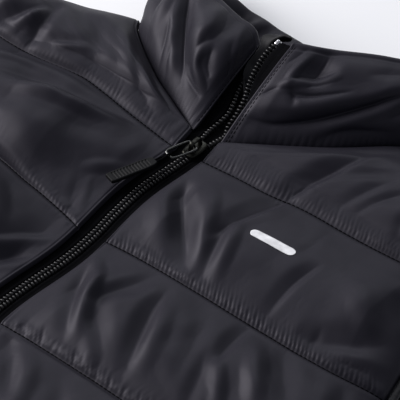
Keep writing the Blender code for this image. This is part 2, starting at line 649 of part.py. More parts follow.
def pull_tab(finish):
    """The moulded tab, with its thin doubled cord as one bar that goes round the loop's end."""
    hinge, away, sideways = pull_frame()
    start = LOOP_LENGTH + CORD_LENGTH

    def placed(along, wide, lift):
        share = (along - start) / TAB_LENGTH
        rise = TAB_NEAR_RISE + (TAB_FAR_RISE - TAB_NEAR_RISE) * max(share, 0)
        return hinge + away * along + sideways * wide + (0, 0, rise + lift)

    widths = ((0, 2.4), (0.06, 3.3), (0.2, TAB_HALF), (0.9, TAB_HALF), (1.0, TAB_HALF - 0.5))
    right = [(start + share * TAB_LENGTH, wide) for share, wide in widths]
    outline = right + [(along, -wide) for along, wide in right[::-1]]
    half = TAB_THICK / 2
    low = [placed(along, wide, -half) for along, wide in outline]
    high = [placed(along, wide, half) for along, wide in outline]
    count = len(outline)
    faces = [tuple(range(count)), tuple(range(count, 2 * count))[::-1]]
    faces += [(i, count + i, count + (i + 1) % count, (i + 1) % count) for i in range(count)]
    tab = put_origin_on_hinge(add_mesh("pull_tab", low + high, faces, finish))
    near = LOOP_LENGTH + WIRE + GAP - 0.05
    cord = [placed(near, 0, 0.2), placed(near + 3, 0, 0), placed(start + 2, 0, 0)]
    return join(tab, cord_mesh("tab_cord", cord, finish))


def cord_mesh(name, points, finish):
    """A flat bar of four corners along the points, for the doubled cord."""
    _, away, sideways = pull_frame()
    section = ((1.3, -0.6), (1.3, 0.6), (-1.3, 0.6), (-1.3, -0.6))
    corners = [sideways * wide + np.array((0, 0, high)) for wide, high in section]
    ring = [point + corner for point in points for corner in corners]
    faces = [(0, 1, 2, 3), tuple(4 * (len(points) - 1) + i for i in (3, 2, 1, 0))]
    for k in range(len(points) - 1):
        for i in range(4):
            a, b = 4 * k + i, 4 * k + (i + 1) % 4
            faces.append((a, a + 4, b + 4, b))
    made = add_mesh(name, ring, faces, finish)
    return made


def zip_ends(metal, plastic):
    """The box that holds both rows at the hem, and a stop at the top of each row."""
    x, z = zip_line(ZIP_END_Y)[0]
    boxed("zip_box", (x - 4.6, ZIP_END_Y - 8.5, z - 2.2), (x + 4.6, ZIP_END_Y - GAP, z + 2.4), plastic, 0.6)
    for side, name in ((1, "zip_stop_left"), (-1, "zip_stop_right")):
        teeth = teeth_line(side)
        end, before = teeth[-2], teeth[-3]
        along = unit(end - before)
        middle = end + along * (GAP + 2.5)
        low, high = middle - (1.6, 2.0, 1.5), middle + (1.6, 2.0, 1.5)
        boxed(name, low, high, metal, 0.4)


def main():
    for old in list(bpy.data.objects):
        bpy.data.objects.remove(old)
    shell = material("shell_fabric", (0.022, 0.022, 0.026), 0.5)
    lining = material("lining_fabric", (0.018, 0.018, 0.02), 0.6)
    tape = material("zip_tape", (0.012, 0.012, 0.014), 0.8)
    elastic = material("elastic_binding", (0.014, 0.014, 0.016), 0.75)
    plastic = material("moulded_teeth", (0.02, 0.02, 0.022), 0.35)
    metal = material("dark_metal", (0.12, 0.12, 0.13), 0.3, 1.0)
    rubber = material("moulded_tab", (0.03, 0.03, 0.032), 0.55)
    back_panel(shell)
    front_panel(1, "front_left", shell)
    front_panel(-1, "front_right", shell)
    collar(shell)
    wind_flap(lining)
    for side, word in ((1, "left"), (-1, "right")):
        zip_tape(side, f"zip_tape_{word}", tape)
        zip_teeth(side, f"zip_teeth_{word}", plastic)
        armhole_binding(side, f"armhole_binding_{word}", elastic)
    hem_binding(elastic)
    zip_slider(metal)
    zip_ends(metal, plastic)
    pull_loop(metal)
    pull_tab(rubber)


main()
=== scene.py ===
import math
import time

import bpy
import numpy as np
from mathutils import Matrix


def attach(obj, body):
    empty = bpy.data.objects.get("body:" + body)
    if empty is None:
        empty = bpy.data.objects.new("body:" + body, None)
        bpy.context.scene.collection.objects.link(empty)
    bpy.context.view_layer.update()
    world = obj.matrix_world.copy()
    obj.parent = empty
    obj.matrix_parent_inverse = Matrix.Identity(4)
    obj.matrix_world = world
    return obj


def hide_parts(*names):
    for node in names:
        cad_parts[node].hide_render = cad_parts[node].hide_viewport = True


# Everything is worked out in millimetres from the zip at the front neck seam: x to the wearer's
# left, y towards the collar, z up from the table. toMetres and neckToMiddle place it in the frame.
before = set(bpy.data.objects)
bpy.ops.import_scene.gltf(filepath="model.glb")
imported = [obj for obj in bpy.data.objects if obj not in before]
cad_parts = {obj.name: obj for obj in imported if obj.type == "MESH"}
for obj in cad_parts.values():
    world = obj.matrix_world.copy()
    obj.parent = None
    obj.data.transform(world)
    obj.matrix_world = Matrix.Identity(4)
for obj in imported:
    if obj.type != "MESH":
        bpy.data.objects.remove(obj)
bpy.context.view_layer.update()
scene = bpy.context.scene
toMetres = 0.001
neckToMiddle = 232.5   # from the frame's origin to the neck seam at the zip

body = {
    "hemY": -586.0,
    "quiltY": np.array([-586.0, -546, -458, -370, -282, -194, -106, -18]),
    "quiltRise": 6.0,          # a quilt line climbs this much from the zip to the side
    # left (1) and right (-1): the right shoulder lies lower
    "shoulderTip": {1: (205.0, 38.0), -1: (205.0, 13.0)},
    "highShoulder": {1: (104.0, 78.0), -1: (99.0, 57.0)},
    "armTurn": -10.0,
    "frontEdge": 9.0,          # from the zip's middle to the folded front edge
    "placket": 5.0,
    "neckLeft": ((9, 0), (38, 19.5), (66, 40), (88, 62), (104, 78)),
    "neckRight": ((9, 0), (27, 6), (56, 18.5), (86, 39), (99, 57)),
    "backNeckY": 55.0,
    "yokeTop": 56.0,           # where the yoke's puckers reckon its upper seam, front and back
    "backYokeTop": 70.0,
    "neckStart": 0.12,         # share of the yoke's height where the neck seam begins
}

# how far each quilt line strays from its height, hem to shoulder: x, then mm
quiltStray = {
    "left": {
        5: ((9, -1.5), (25, -1.7), (43, -2.5), (70, -4.1), (97, -5.8), (130, -6.4), (170, -5), (205, -1)),
        6: ((9, -3.3), (28, -2.7), (50, -3.3), (76, -4.7), (100, -6), (126, -7), (150, -7.7),
            (173, -6.9), (194, -3), (205, 0)),
        7: ((9, -4.6), (38, -3.9), (60, -4.2), (75, -2.8), (90, -2.5), (108, -3.1), (130, -3.2),
            (150, -2.4), (180, -1), (200, 0)),
    },
    "right": {
        6: ((5, -5.5), (17, -2.8), (30, -0.7), (42, 0.9), (54, 1.9), (66, 3.6), (79, 5), (110, 5.5),
            (150, 3), (200, 0)),
        7: ((9, -6), (30, -4.1), (48, -2.4), (67, -0.2), (85, 0.9), (101, -1.7), (117, -4.6), (140, -6),
            (170, -3.5), (200, 0)),
    },
}

# outer edge of a half body: y, half width, front layer's z, back layer's z
outerEdge = np.array([
    (-586, 252.0, 15.5, 8.0),
    (-560, 252.5, 14.0, 10.0),
    (-370, 250.0, 13.6, 10.0),
    (-240, 260.0, 13.6, 10.0),
    (-172, 264.0, 13.6, 10.0),
    (-166, 250.0, 14.6, 9.2),
    (-155, 232.0, 16.0, 8.0),
    (-135, 215.0, 17.6, 7.0),
    (-106, 203.0, 18.6, 6.5),
    (-60, 193.5, 19.0, 6.5),
    (-10, 193.0, 18.6, 6.5),
    (20, 199.0, 17.0, 7.4),
    (38, 205.0, 14.0, 9.6),
])

# the zip's wandering line: y, x, z
zipCourse = np.array([
    (-586, 0.0, 22.4),
    (-480, 0.8, 22.8),
    (-390, -0.8, 22.4),
    (-300, 1.0, 22.9),
    (-240, 1.4, 22.2),
    (-182, -2.2, 22.9),
    (-125, 2.4, 22.6),
    (-62, -1.4, 22.9),
    (-17, 2.2, 22.6),
    (4, 1.6, 22.5),
])


def smoothCurve(keys, rows, at):
    # rows at each key of `at`, on the smooth curve through the table
    keys, at = np.asarray(keys, float), np.atleast_1d(np.asarray(at, float))
    rows = np.asarray(rows, float).reshape(len(keys), -1)
    slopes = np.gradient(rows, keys, axis=0)
    low = np.clip(np.searchsorted(keys, at, side="right") - 1, 0, len(keys) - 2)
    step = (keys[low + 1] - keys[low])[:, None]
    t = (np.clip(at, keys[0], keys[-1]) - keys[low])[:, None] / step
    return ((2 * t**3 - 3 * t**2 + 1) * rows[low] + (t**3 - 2 * t**2 + t) * step * slopes[low]
            + (3 * t**2 - 2 * t**3) * rows[low + 1] + (t**3 - t**2) * step * slopes[low + 1])


def unit(vectors):
    return vectors / np.maximum(np.linalg.norm(vectors, axis=-1, keepdims=True), 1e-12)


def smoothStep(t):
    t = np.clip(t, 0, 1)
    return t * t * (3 - 2 * t)


def edgeAt(y, side=1):
    # half width and both layers' z at y
    turn = body["armTurn"]
    above = (outerEdge[-1, 0] - turn) / (body["shoulderTip"][side][1] - turn)
    y = np.where(y > turn, turn + (y - turn) * above, y)
    return np.stack([np.interp(y, outerEdge[:, 0], column) for column in outerEdge.T[1:]], axis=-1)


def zipAt(y):
    return smoothCurve(zipCourse[:, 0], zipCourse[:, 1:], y)


def neckSeam(side, place):
    # x, y of the neck seam: place 0 zip, 1 high shoulder point, 2 centre back
    front = body["neckLeft"] if side > 0 else body["neckRight"]
    place = np.atleast_1d(place)
    first = smoothCurve(np.linspace(0, 1, len(front)), front, np.minimum(place, 1))
    turn = np.clip(place - 1, 0, 1) * math.pi / 2
    hpsX, hpsY = body["highShoulder"][side]
    back = np.stack([hpsX * np.cos(turn),
                     hpsY + (body["backNeckY"] - hpsY) * np.sin(turn) ** 0.8], axis=-1)
    return np.where((place <= 1)[:, None], first, back) * (side, 1.0)


def falling(distance, width):
    left = 1 - np.clip(distance / width, 0, 1)
    return 1 - np.sqrt(1 - left**2)


def swelling(share, power=0.6):
    return np.sin(np.pi * np.clip(share, 0, 1)) ** power


def softNoise(shape, cells, seed):
    # smooth noise about 0, seldom past 2, on a grid with `cells` lumps along each side
    made = np.random.default_rng(seed).standard_normal((cells[0] + 4, cells[1] + 4))
    rowAt = np.linspace(1, cells[0] + 1, shape[0])
    columnAt = np.linspace(1, cells[1] + 1, shape[1])
    return resample(made[..., None], rowAt, columnAt)[..., 0]


def cubicWeights(at, count):
    # four neighbours and their Catmull-Rom weights for each place on a line of `count` points
    low = np.clip(np.floor(at).astype(int), 0, count - 2)
    t = (at - low)[:, None]
    weights = np.hstack([-0.5 * t + t**2 - 0.5 * t**3, 1 - 2.5 * t**2 + 1.5 * t**3,
                         0.5 * t + 2 * t**2 - 1.5 * t**3, -0.5 * t**2 + 0.5 * t**3])
    return np.clip(low[:, None] + np.arange(-1, 3), 0, count - 1), weights


def resample(grid, rowAt, columnAt):
    # the smooth surface through a grid of points, read at fractional rows and columns
    index, weights = cubicWeights(np.asarray(rowAt, float), grid.shape[0])
    grid = np.einsum("rk,rkcd->rcd", weights, grid[index])
    index, weights = cubicWeights(np.asarray(columnAt, float), grid.shape[1])
    return np.einsum("ck,rckd->rcd", weights, grid[:, index])


def gridNormals(grid):
    normal = np.cross(np.gradient(grid, axis=1), np.gradient(grid, axis=0))
    return unit(normal)


def addMesh(name, points, faces, finish, bodyName="vest"):
    mesh = bpy.data.meshes.new(name)
    placed = (np.asarray(points, float) + (0, neckToMiddle, 0)) * toMetres
    mesh.from_pydata(placed.tolist(), [], faces if isinstance(faces, list) else faces.tolist())
    mesh.update()
    mesh.materials.append(finish)
    mesh.shade_smooth()
    made = bpy.data.objects.new(name, mesh)
    scene.collection.objects.link(made)
    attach(made, bodyName)
    return made


def standsFor(node):
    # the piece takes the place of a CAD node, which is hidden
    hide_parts(node)


def sideWord(side):
    return "left" if side > 0 else "right"


def quadFaces(rows, columns):
    index = np.arange(rows * columns).reshape(rows, columns)
    return np.stack([index[:-1, :-1], index[:-1, 1:], index[1:, 1:], index[1:, :-1]],
                    axis=-1).reshape(-1, 4)


def closedShell(name, fine, coarse, finish, step=4, outwards=1):
    # one closed piece from a fine outer grid and an inner grid with every `step`-th row and column;
    # `outwards` is 1 when the fine grid's own normals point out of the piece
    rows, columns = fine.shape[:2]
    lowRows, lowColumns = coarse.shape[:2]
    points = np.concatenate([fine.reshape(-1, 3), coarse.reshape(-1, 3)])
    top = quadFaces(rows, columns)
    under = quadFaces(lowRows, lowColumns)[:, ::-1] + rows * columns
    faces = top.tolist() + under.tolist()
    fineIndex = np.arange(rows * columns).reshape(rows, columns)
    lowIndex = np.arange(lowRows * lowColumns).reshape(lowRows, lowColumns) + rows * columns
    rims = ((fineIndex[0], lowIndex[0], 1), (fineIndex[:, -1], lowIndex[:, -1], 1),
            (fineIndex[-1], lowIndex[-1], -1), (fineIndex[:, 0], lowIndex[:, 0], -1))
    for fineRim, lowRim, way in rims:
        for k in range(len(lowRim) - 1):
            a, b = int(lowRim[k]), int(lowRim[k + 1])
            run = [int(i) for i in fineRim[k * step:(k + 1) * step + 1]]
            half = step // 2
            found = [(a, run[i + 1], run[i]) for i in range(half)]
            found += [(a, b, run[half])]
            found += [(b, run[i + 1], run[i]) for i in range(half, step)]
            faces += [f if way > 0 else f[::-1] for f in found]
    made = addMesh(name, points, faces, finish)
    if outwards < 0:
        made.data.flip_normals()
    return made


print("helpers ready")


camera = {
    "lookAt": (31.49, -48.94, 26.5),
    "azimuth": 36.79,
    "elevation": 44.45,
    "roll": 2.67,
    "distance": 1926.0,
    "lens": 302.8,
    "sensor": 36.0,
}


def matrixOf(right, up, back, place):
    return Matrix(np.vstack([np.column_stack([right, up, back, place]), (0, 0, 0, 1)]).tolist())


def addCamera():
    turn, lift, roll = (math.radians(camera[k]) for k in ("azimuth", "elevation", "roll"))
    back = np.array([math.sin(turn) * math.cos(lift), -math.cos(turn) * math.cos(lift), math.sin(lift)])
    right = np.array([math.cos(turn), math.sin(turn), 0.0])
    up = np.cross(back, right)
    right, up = (math.cos(roll) * right + math.sin(roll) * up,
                 math.cos(roll) * up - math.sin(roll) * right)
    place = np.array(camera["lookAt"]) + (0, neckToMiddle, 0) + camera["distance"] * back
    data = bpy.data.cameras.new("camera")
    data.lens, data.sensor_width = camera["lens"], camera["sensor"]
    data.clip_start, data.clip_end = 0.1, 20.0
    made = bpy.data.objects.new("camera", data)
    made.matrix_world = matrixOf(right, up, back, place * toMetres)
    scene.collection.objects.link(made)
    scene.camera = made


light = {
    "worldColour": (0.86, 0.9, 1.0),
    "worldStrength": 0.26,
    "lamps": (  # direction towards the lamp (x, y, z), distance, size across and along, watts, colour
        ((-0.84, -0.2, 0.5), 2.3, 1.5, 1.2, 72.0, (1.0, 0.98, 0.99)),
        ((-0.4, 0.7, 0.6), 2.4, 1.6, 1.0, 12.0, (0.94, 0.965, 1.0)),
    ),
}


def addLights():
    world = bpy.data.worlds.new("softWorld")
    scene.world = world
    world.use_nodes = True
    sky = world.node_tree.nodes["Background"]
    sky.inputs["Color"].default_value = (*light["worldColour"], 1)
    sky.inputs["Strength"].default_value = light["worldStrength"]
    middle = np.array([0.02, 0.18, 0.02])
    for number, (toward, distance, width, height, watts, colour) in enumerate(light["lamps"]):
        data = bpy.data.lights.new(f"softbox{number}", "AREA")
        data.shape, data.size, data.size_y = "RECTANGLE", width, height
        data.energy, data.color = watts, colour
        made = bpy.data.objects.new(f"softbox{number}", data)
        back = unit(np.array(toward, float))
        right = unit(np.cross((0, 0, 1), back))
        made.matrix_world = matrixOf(right, np.cross(back, right), back, middle + distance * back)
        scene.collection.objects.link(made)


def addFloor():
    points = [(-3, -3, 0), (3, -3, 0), (3, 3, 0), (-3, 3, 0)]
    mesh = bpy.data.meshes.new("floor")
    mesh.from_pydata(points, [], [(0, 1, 2, 3)])
    made = bpy.data.objects.new("floor", mesh)
    paint = bpy.data.materials.new("paleFloor")
    paint.use_nodes = True
    shader = paint.node_tree.nodes["Principled BSDF"]
    shader.inputs["Base Color"].default_value = (0.93, 0.935, 0.95, 1)
    shader.inputs["Roughness"].default_value = 0.8
    mesh.materials.append(paint)
    scene.collection.objects.link(made)


def newFinish(name, colour, roughness, metallic=0.0, sheen=0.0, specular=0.5):
    made = bpy.data.materials.new(name)
    made.use_nodes = True
    tree = made.node_tree
    shader = tree.nodes["Principled BSDF"]
    shader.inputs["Base Color"].default_value = (*colour, 1)
    shader.inputs["Roughness"].default_value = roughness
    shader.inputs["Metallic"].default_value = metallic
    shader.inputs["Sheen Weight"].default_value = sheen
    shader.inputs["Specular IOR Level"].default_value = specular
    place = tree.nodes.new("ShaderNodeTexCoord")
    return made, tree, shader, place.outputs["Object"]


def mottle(tree, place, scale, low, high, detail=3.0):
    # a value that wanders between low and high
    noise = tree.nodes.new("ShaderNodeTexNoise")
    noise.inputs["Scale"].default_value = scale
    noise.inputs["Detail"].default_value = detail
    tree.links.new(place, noise.inputs["Vector"])
    spread = tree.nodes.new("ShaderNodeMapRange")
    spread.inputs["From Min"].default_value, spread.inputs["From Max"].default_value = 0.3, 0.7
    spread.inputs["To Min"].default_value, spread.inputs["To Max"].default_value = low, high
    tree.links.new(noise.outputs["Fac"], spread.inputs["Value"])
    return spread.outputs["Result"]


def tinted(tree, place, shader, darker, lighter, scale):
    # base colour that drifts between two near tones
    mix = tree.nodes.new("ShaderNodeMix")
    mix.data_type = "RGBA"
    mix.inputs["A"].default_value, mix.inputs["B"].default_value = (*darker, 1), (*lighter, 1)
    tree.links.new(mottle(tree, place, scale, 0, 1), mix.inputs["Factor"])
    tree.links.new(mix.outputs["Result"], shader.inputs["Base Color"])


def weaveBump(tree, place, shader, threadsPerMm, height):
    # plain weave: two crossed bands of threads
    total = None
    for direction in ("X", "Y"):
        wave = tree.nodes.new("ShaderNodeTexWave")
        wave.bands_direction = direction
        wave.inputs["Scale"].default_value = threadsPerMm * 1000 / 3.1416 / 2   # a wave is two pi long
        wave.inputs["Distortion"].default_value = 0.6
        wave.inputs["Detail"].default_value = 0.0
        tree.links.new(place, wave.inputs["Vector"])
        if total is None:
            total = wave.outputs["Fac"]
        else:
            add = tree.nodes.new("ShaderNodeMath")
            add.operation = "ADD"
            tree.links.new(total, add.inputs[0])
            tree.links.new(wave.outputs["Fac"], add.inputs[1])
            total = add.outputs[0]
    bump = tree.nodes.new("ShaderNodeBump")
    bump.inputs["Strength"].default_value = 0.35
    bump.inputs["Distance"].default_value = height * toMetres
    tree.links.new(total, bump.inputs["Height"])
    tree.links.new(bump.outputs["Normal"], shader.inputs["Normal"])


def shellNylon():
    made, tree, shader, place = newFinish("shellNylon", (0.0112, 0.0105, 0.0158), 0.48, specular=0.25)
    tinted(tree, place, shader, (0.0099, 0.0092, 0.0143), (0.0125, 0.0117, 0.0172), 22.0)
    shader.inputs["Specular Tint"].default_value = (0.93, 0.89, 1.0, 1)
    tree.links.new(mottle(tree, place, 60.0, 0.52, 0.58), shader.inputs["Roughness"])
    weaveBump(tree, place, shader, 2.6, 0.03)
    return made


finishes = {}
addCamera()
addLights()
addFloor()
scene.view_settings.view_transform = "Standard"
finishes["shell"] = shellNylon()
print("camera, light and floor in place")


# Padded body: base forms
columnShares = np.concatenate([np.linspace(0, 0.022, 11)[:-1], np.linspace(0.022, 1, 231)])


def rowShares(count, nearLow, nearHigh, gap):
    # shares of a baffle's height, closer together by its two seams; count, nearLow and nearHigh
    # are rows: in all, in the 9 mm above the lower seam and in the 8 mm below the upper one
    low = np.linspace(0, 9 / gap, nearLow, endpoint=False)
    high = np.linspace(1 - 8 / gap, 1, nearHigh, endpoint=False)
    return np.concatenate([low, np.linspace(9 / gap, 1 - 8 / gap, count - nearLow - nearHigh,
                                            endpoint=False), high])


frontRowPlan = ([rowShares(12, 5, 3, 40.0)] + [rowShares(36, 8, 5, 88.0)] * 4
                + [rowShares(68, 12, 9, 88.0)] * 2 + [rowShares(76, 12, 8, 60.0)])


layers = {
    "groove": 1.4,          # how deep a quilt line sinks
    "seamHalf": 1.4,        # half the thickness at a quilt line
    "frontZ": 25.4,         # the front's middle layer at the zip
    "frontRise": 2.4,       # and how much it climbs beside it
    "frontUp": 8.0,         # how far a baffle swells outwards, and inwards
    "frontDown": 7.6,
    "backZ": 6.5,
    "backUp": 6.0,
    "backDown": 7.2,
}


frontForm = {
    "climb": 70,                # mm over which the front climbs beside the zip
    "sideFall": 45,             # and over which it falls to the side and to the shoulder
    "shoulderFall": 40,
    "full": (20, 0.6),          # mm from the zip to its full swell, and the power of the curve
    "fullSlow": (50, 0.78),     # the right front but for its yoke rises more slowly
    "fullSide": (30, 0.7),
    "fold": (12, 0.8),          # the same for the creases
    "foldSide": (24, 0.8),
    "edge": 1.6,                # where the swell starts
    "roll": (2.4, 1.3),         # how far the folded edge rolls down, and over how much
    "lip": (0.5, 2.2, 0.6),     # its lip: height, place and width
}


def bodyRows(plan):
    # baffle number and share of the way up it for every row
    found = [(k, share) for k, shares in enumerate(plan) for share in shares]
    return np.array(found + [(len(plan) - 1, 1.0)])


def baffleHeights(rows, top):
    return np.diff(np.append(body["quiltY"], top))[rows[:, 0].astype(int)]


def quiltStraying(side, number, x):
    # number counts the quilt lines from the hem, which stays straight as the shoulder seam does
    table = quiltStray[sideWord(side)].get(number)
    if table is None:
        if number in (0, len(body["quiltY"])):
            return np.zeros_like(x)
        wander = 1.8 * np.sin(np.abs(x) * 0.031 + number * 2.1 + side)
        return wander * np.clip((250 - np.abs(x)) / 30, 0, 1)
    table = np.array(table, float)
    return smoothCurve(table[:, 0], table[:, 1], np.abs(x).ravel()).reshape(x.shape)


def frontFlat(side, rows, u):
    # x, y of a front's cloth and the distances that shape it; rows from bodyRows, u from 0 to 1
    quilt = body["quiltY"]
    baffle, share = rows[:, 0].astype(int), rows[:, 1]
    top = np.append(quilt[1:], body["shoulderTip"][side][1])
    low, high = quilt[baffle], top[baffle]
    y = low + share * (high - low)
    rise = body["quiltRise"] * np.clip((y - body["hemY"]) / 60, 0, 1)
    last = baffle == len(quilt) - 1
    climb = np.where(last, quilt[-1] + body["quiltRise"]
                     + share * (high - quilt[-1] - body["quiltRise"]), y + rise)
    outer = np.column_stack([side * edgeAt(climb, side)[:, 0], climb])
    inner = np.column_stack([side * body["frontEdge"] + zipAt(y)[:, 0], y])
    neck = neckSeam(side, np.clip((share - body["neckStart"]) / 0.88, 0, 1))
    zipTop = np.full(len(y), quilt[-1])
    start = np.column_stack([side * body["frontEdge"] + zipAt(zipTop)[:, 0], zipTop])
    early = np.clip(share / body["neckStart"], 0, 1)[:, None]
    inner = np.where(last[:, None], start + (neck - start) * early, inner)
    flat = inner[:, None] + (outer - inner)[:, None] * u[None, :, None]
    strays = np.array([quiltStraying(side, k, flat[..., 0]) for k in range(len(quilt) + 1)])
    at = np.arange(len(rows))
    flat[..., 1] += strays[baffle, at] * (1 - share[:, None]) + strays[baffle + 1, at] * share[:, None]
    length = np.linalg.norm(outer - inner, axis=-1)[:, None]
    toShoulder = np.where(last, (1 - share) * 96.0, 200.0)[:, None]
    return flat, length * u, length * (1 - u), toShoulder, share[:, None], climb


def frontMiddle(side, rows, u):
    form = frontForm
    flat, fromInner, fromOuter, toShoulder, share, climb = frontFlat(side, rows, u)
    edgeZ = edgeAt(climb, side)[:, 1][:, None]
    climbing = np.clip((fromInner - body["placket"]) / form["climb"], 0, 1)
    middle = layers["frontZ"] + layers["frontRise"] * climbing
    toEdge, over = falling(fromOuter, form["sideFall"]), falling(toShoulder, form["shoulderFall"])
    middle = middle - (middle - edgeZ) * toEdge
    middle = middle - (middle - outerEdge[-1, 2]) * over * (1 - toEdge)
    (wide, power), (wideSlow, powerSlow) = form["full"], form["fullSlow"]
    slow = ((side < 0) & (rows[:, 0] < len(frontRowPlan) - 1))[:, None]
    full = np.clip((fromInner - form["edge"]) / np.where(slow, wideSlow, wide), 0, 1)
    full = full ** np.where(slow, powerSlow, power)
    full = full * swelling(share, 0.95)
    wide, power = form["fullSide"]
    full = full * np.clip(fromOuter / wide, 0, 1) ** power
    # the folded edge rolls down to the tape, with a lip behind it
    (drop, dropWide), (lip, lipAt, lipWide) = form["roll"], form["lip"]
    roll = drop * (1 - smoothStep(fromInner / dropWide))
    roll = roll + lip * np.exp(-((fromInner - lipAt) / lipWide) ** 2)
    wide, power = form["fold"]
    reach = swelling(share, 0.5) * np.clip((fromInner - form["edge"]) / wide, 0, 1) ** power
    wide, power = form["foldSide"]
    reach = reach * np.clip(fromOuter / wide, 0, 1) ** power
    return flat, middle, full, reach, roll


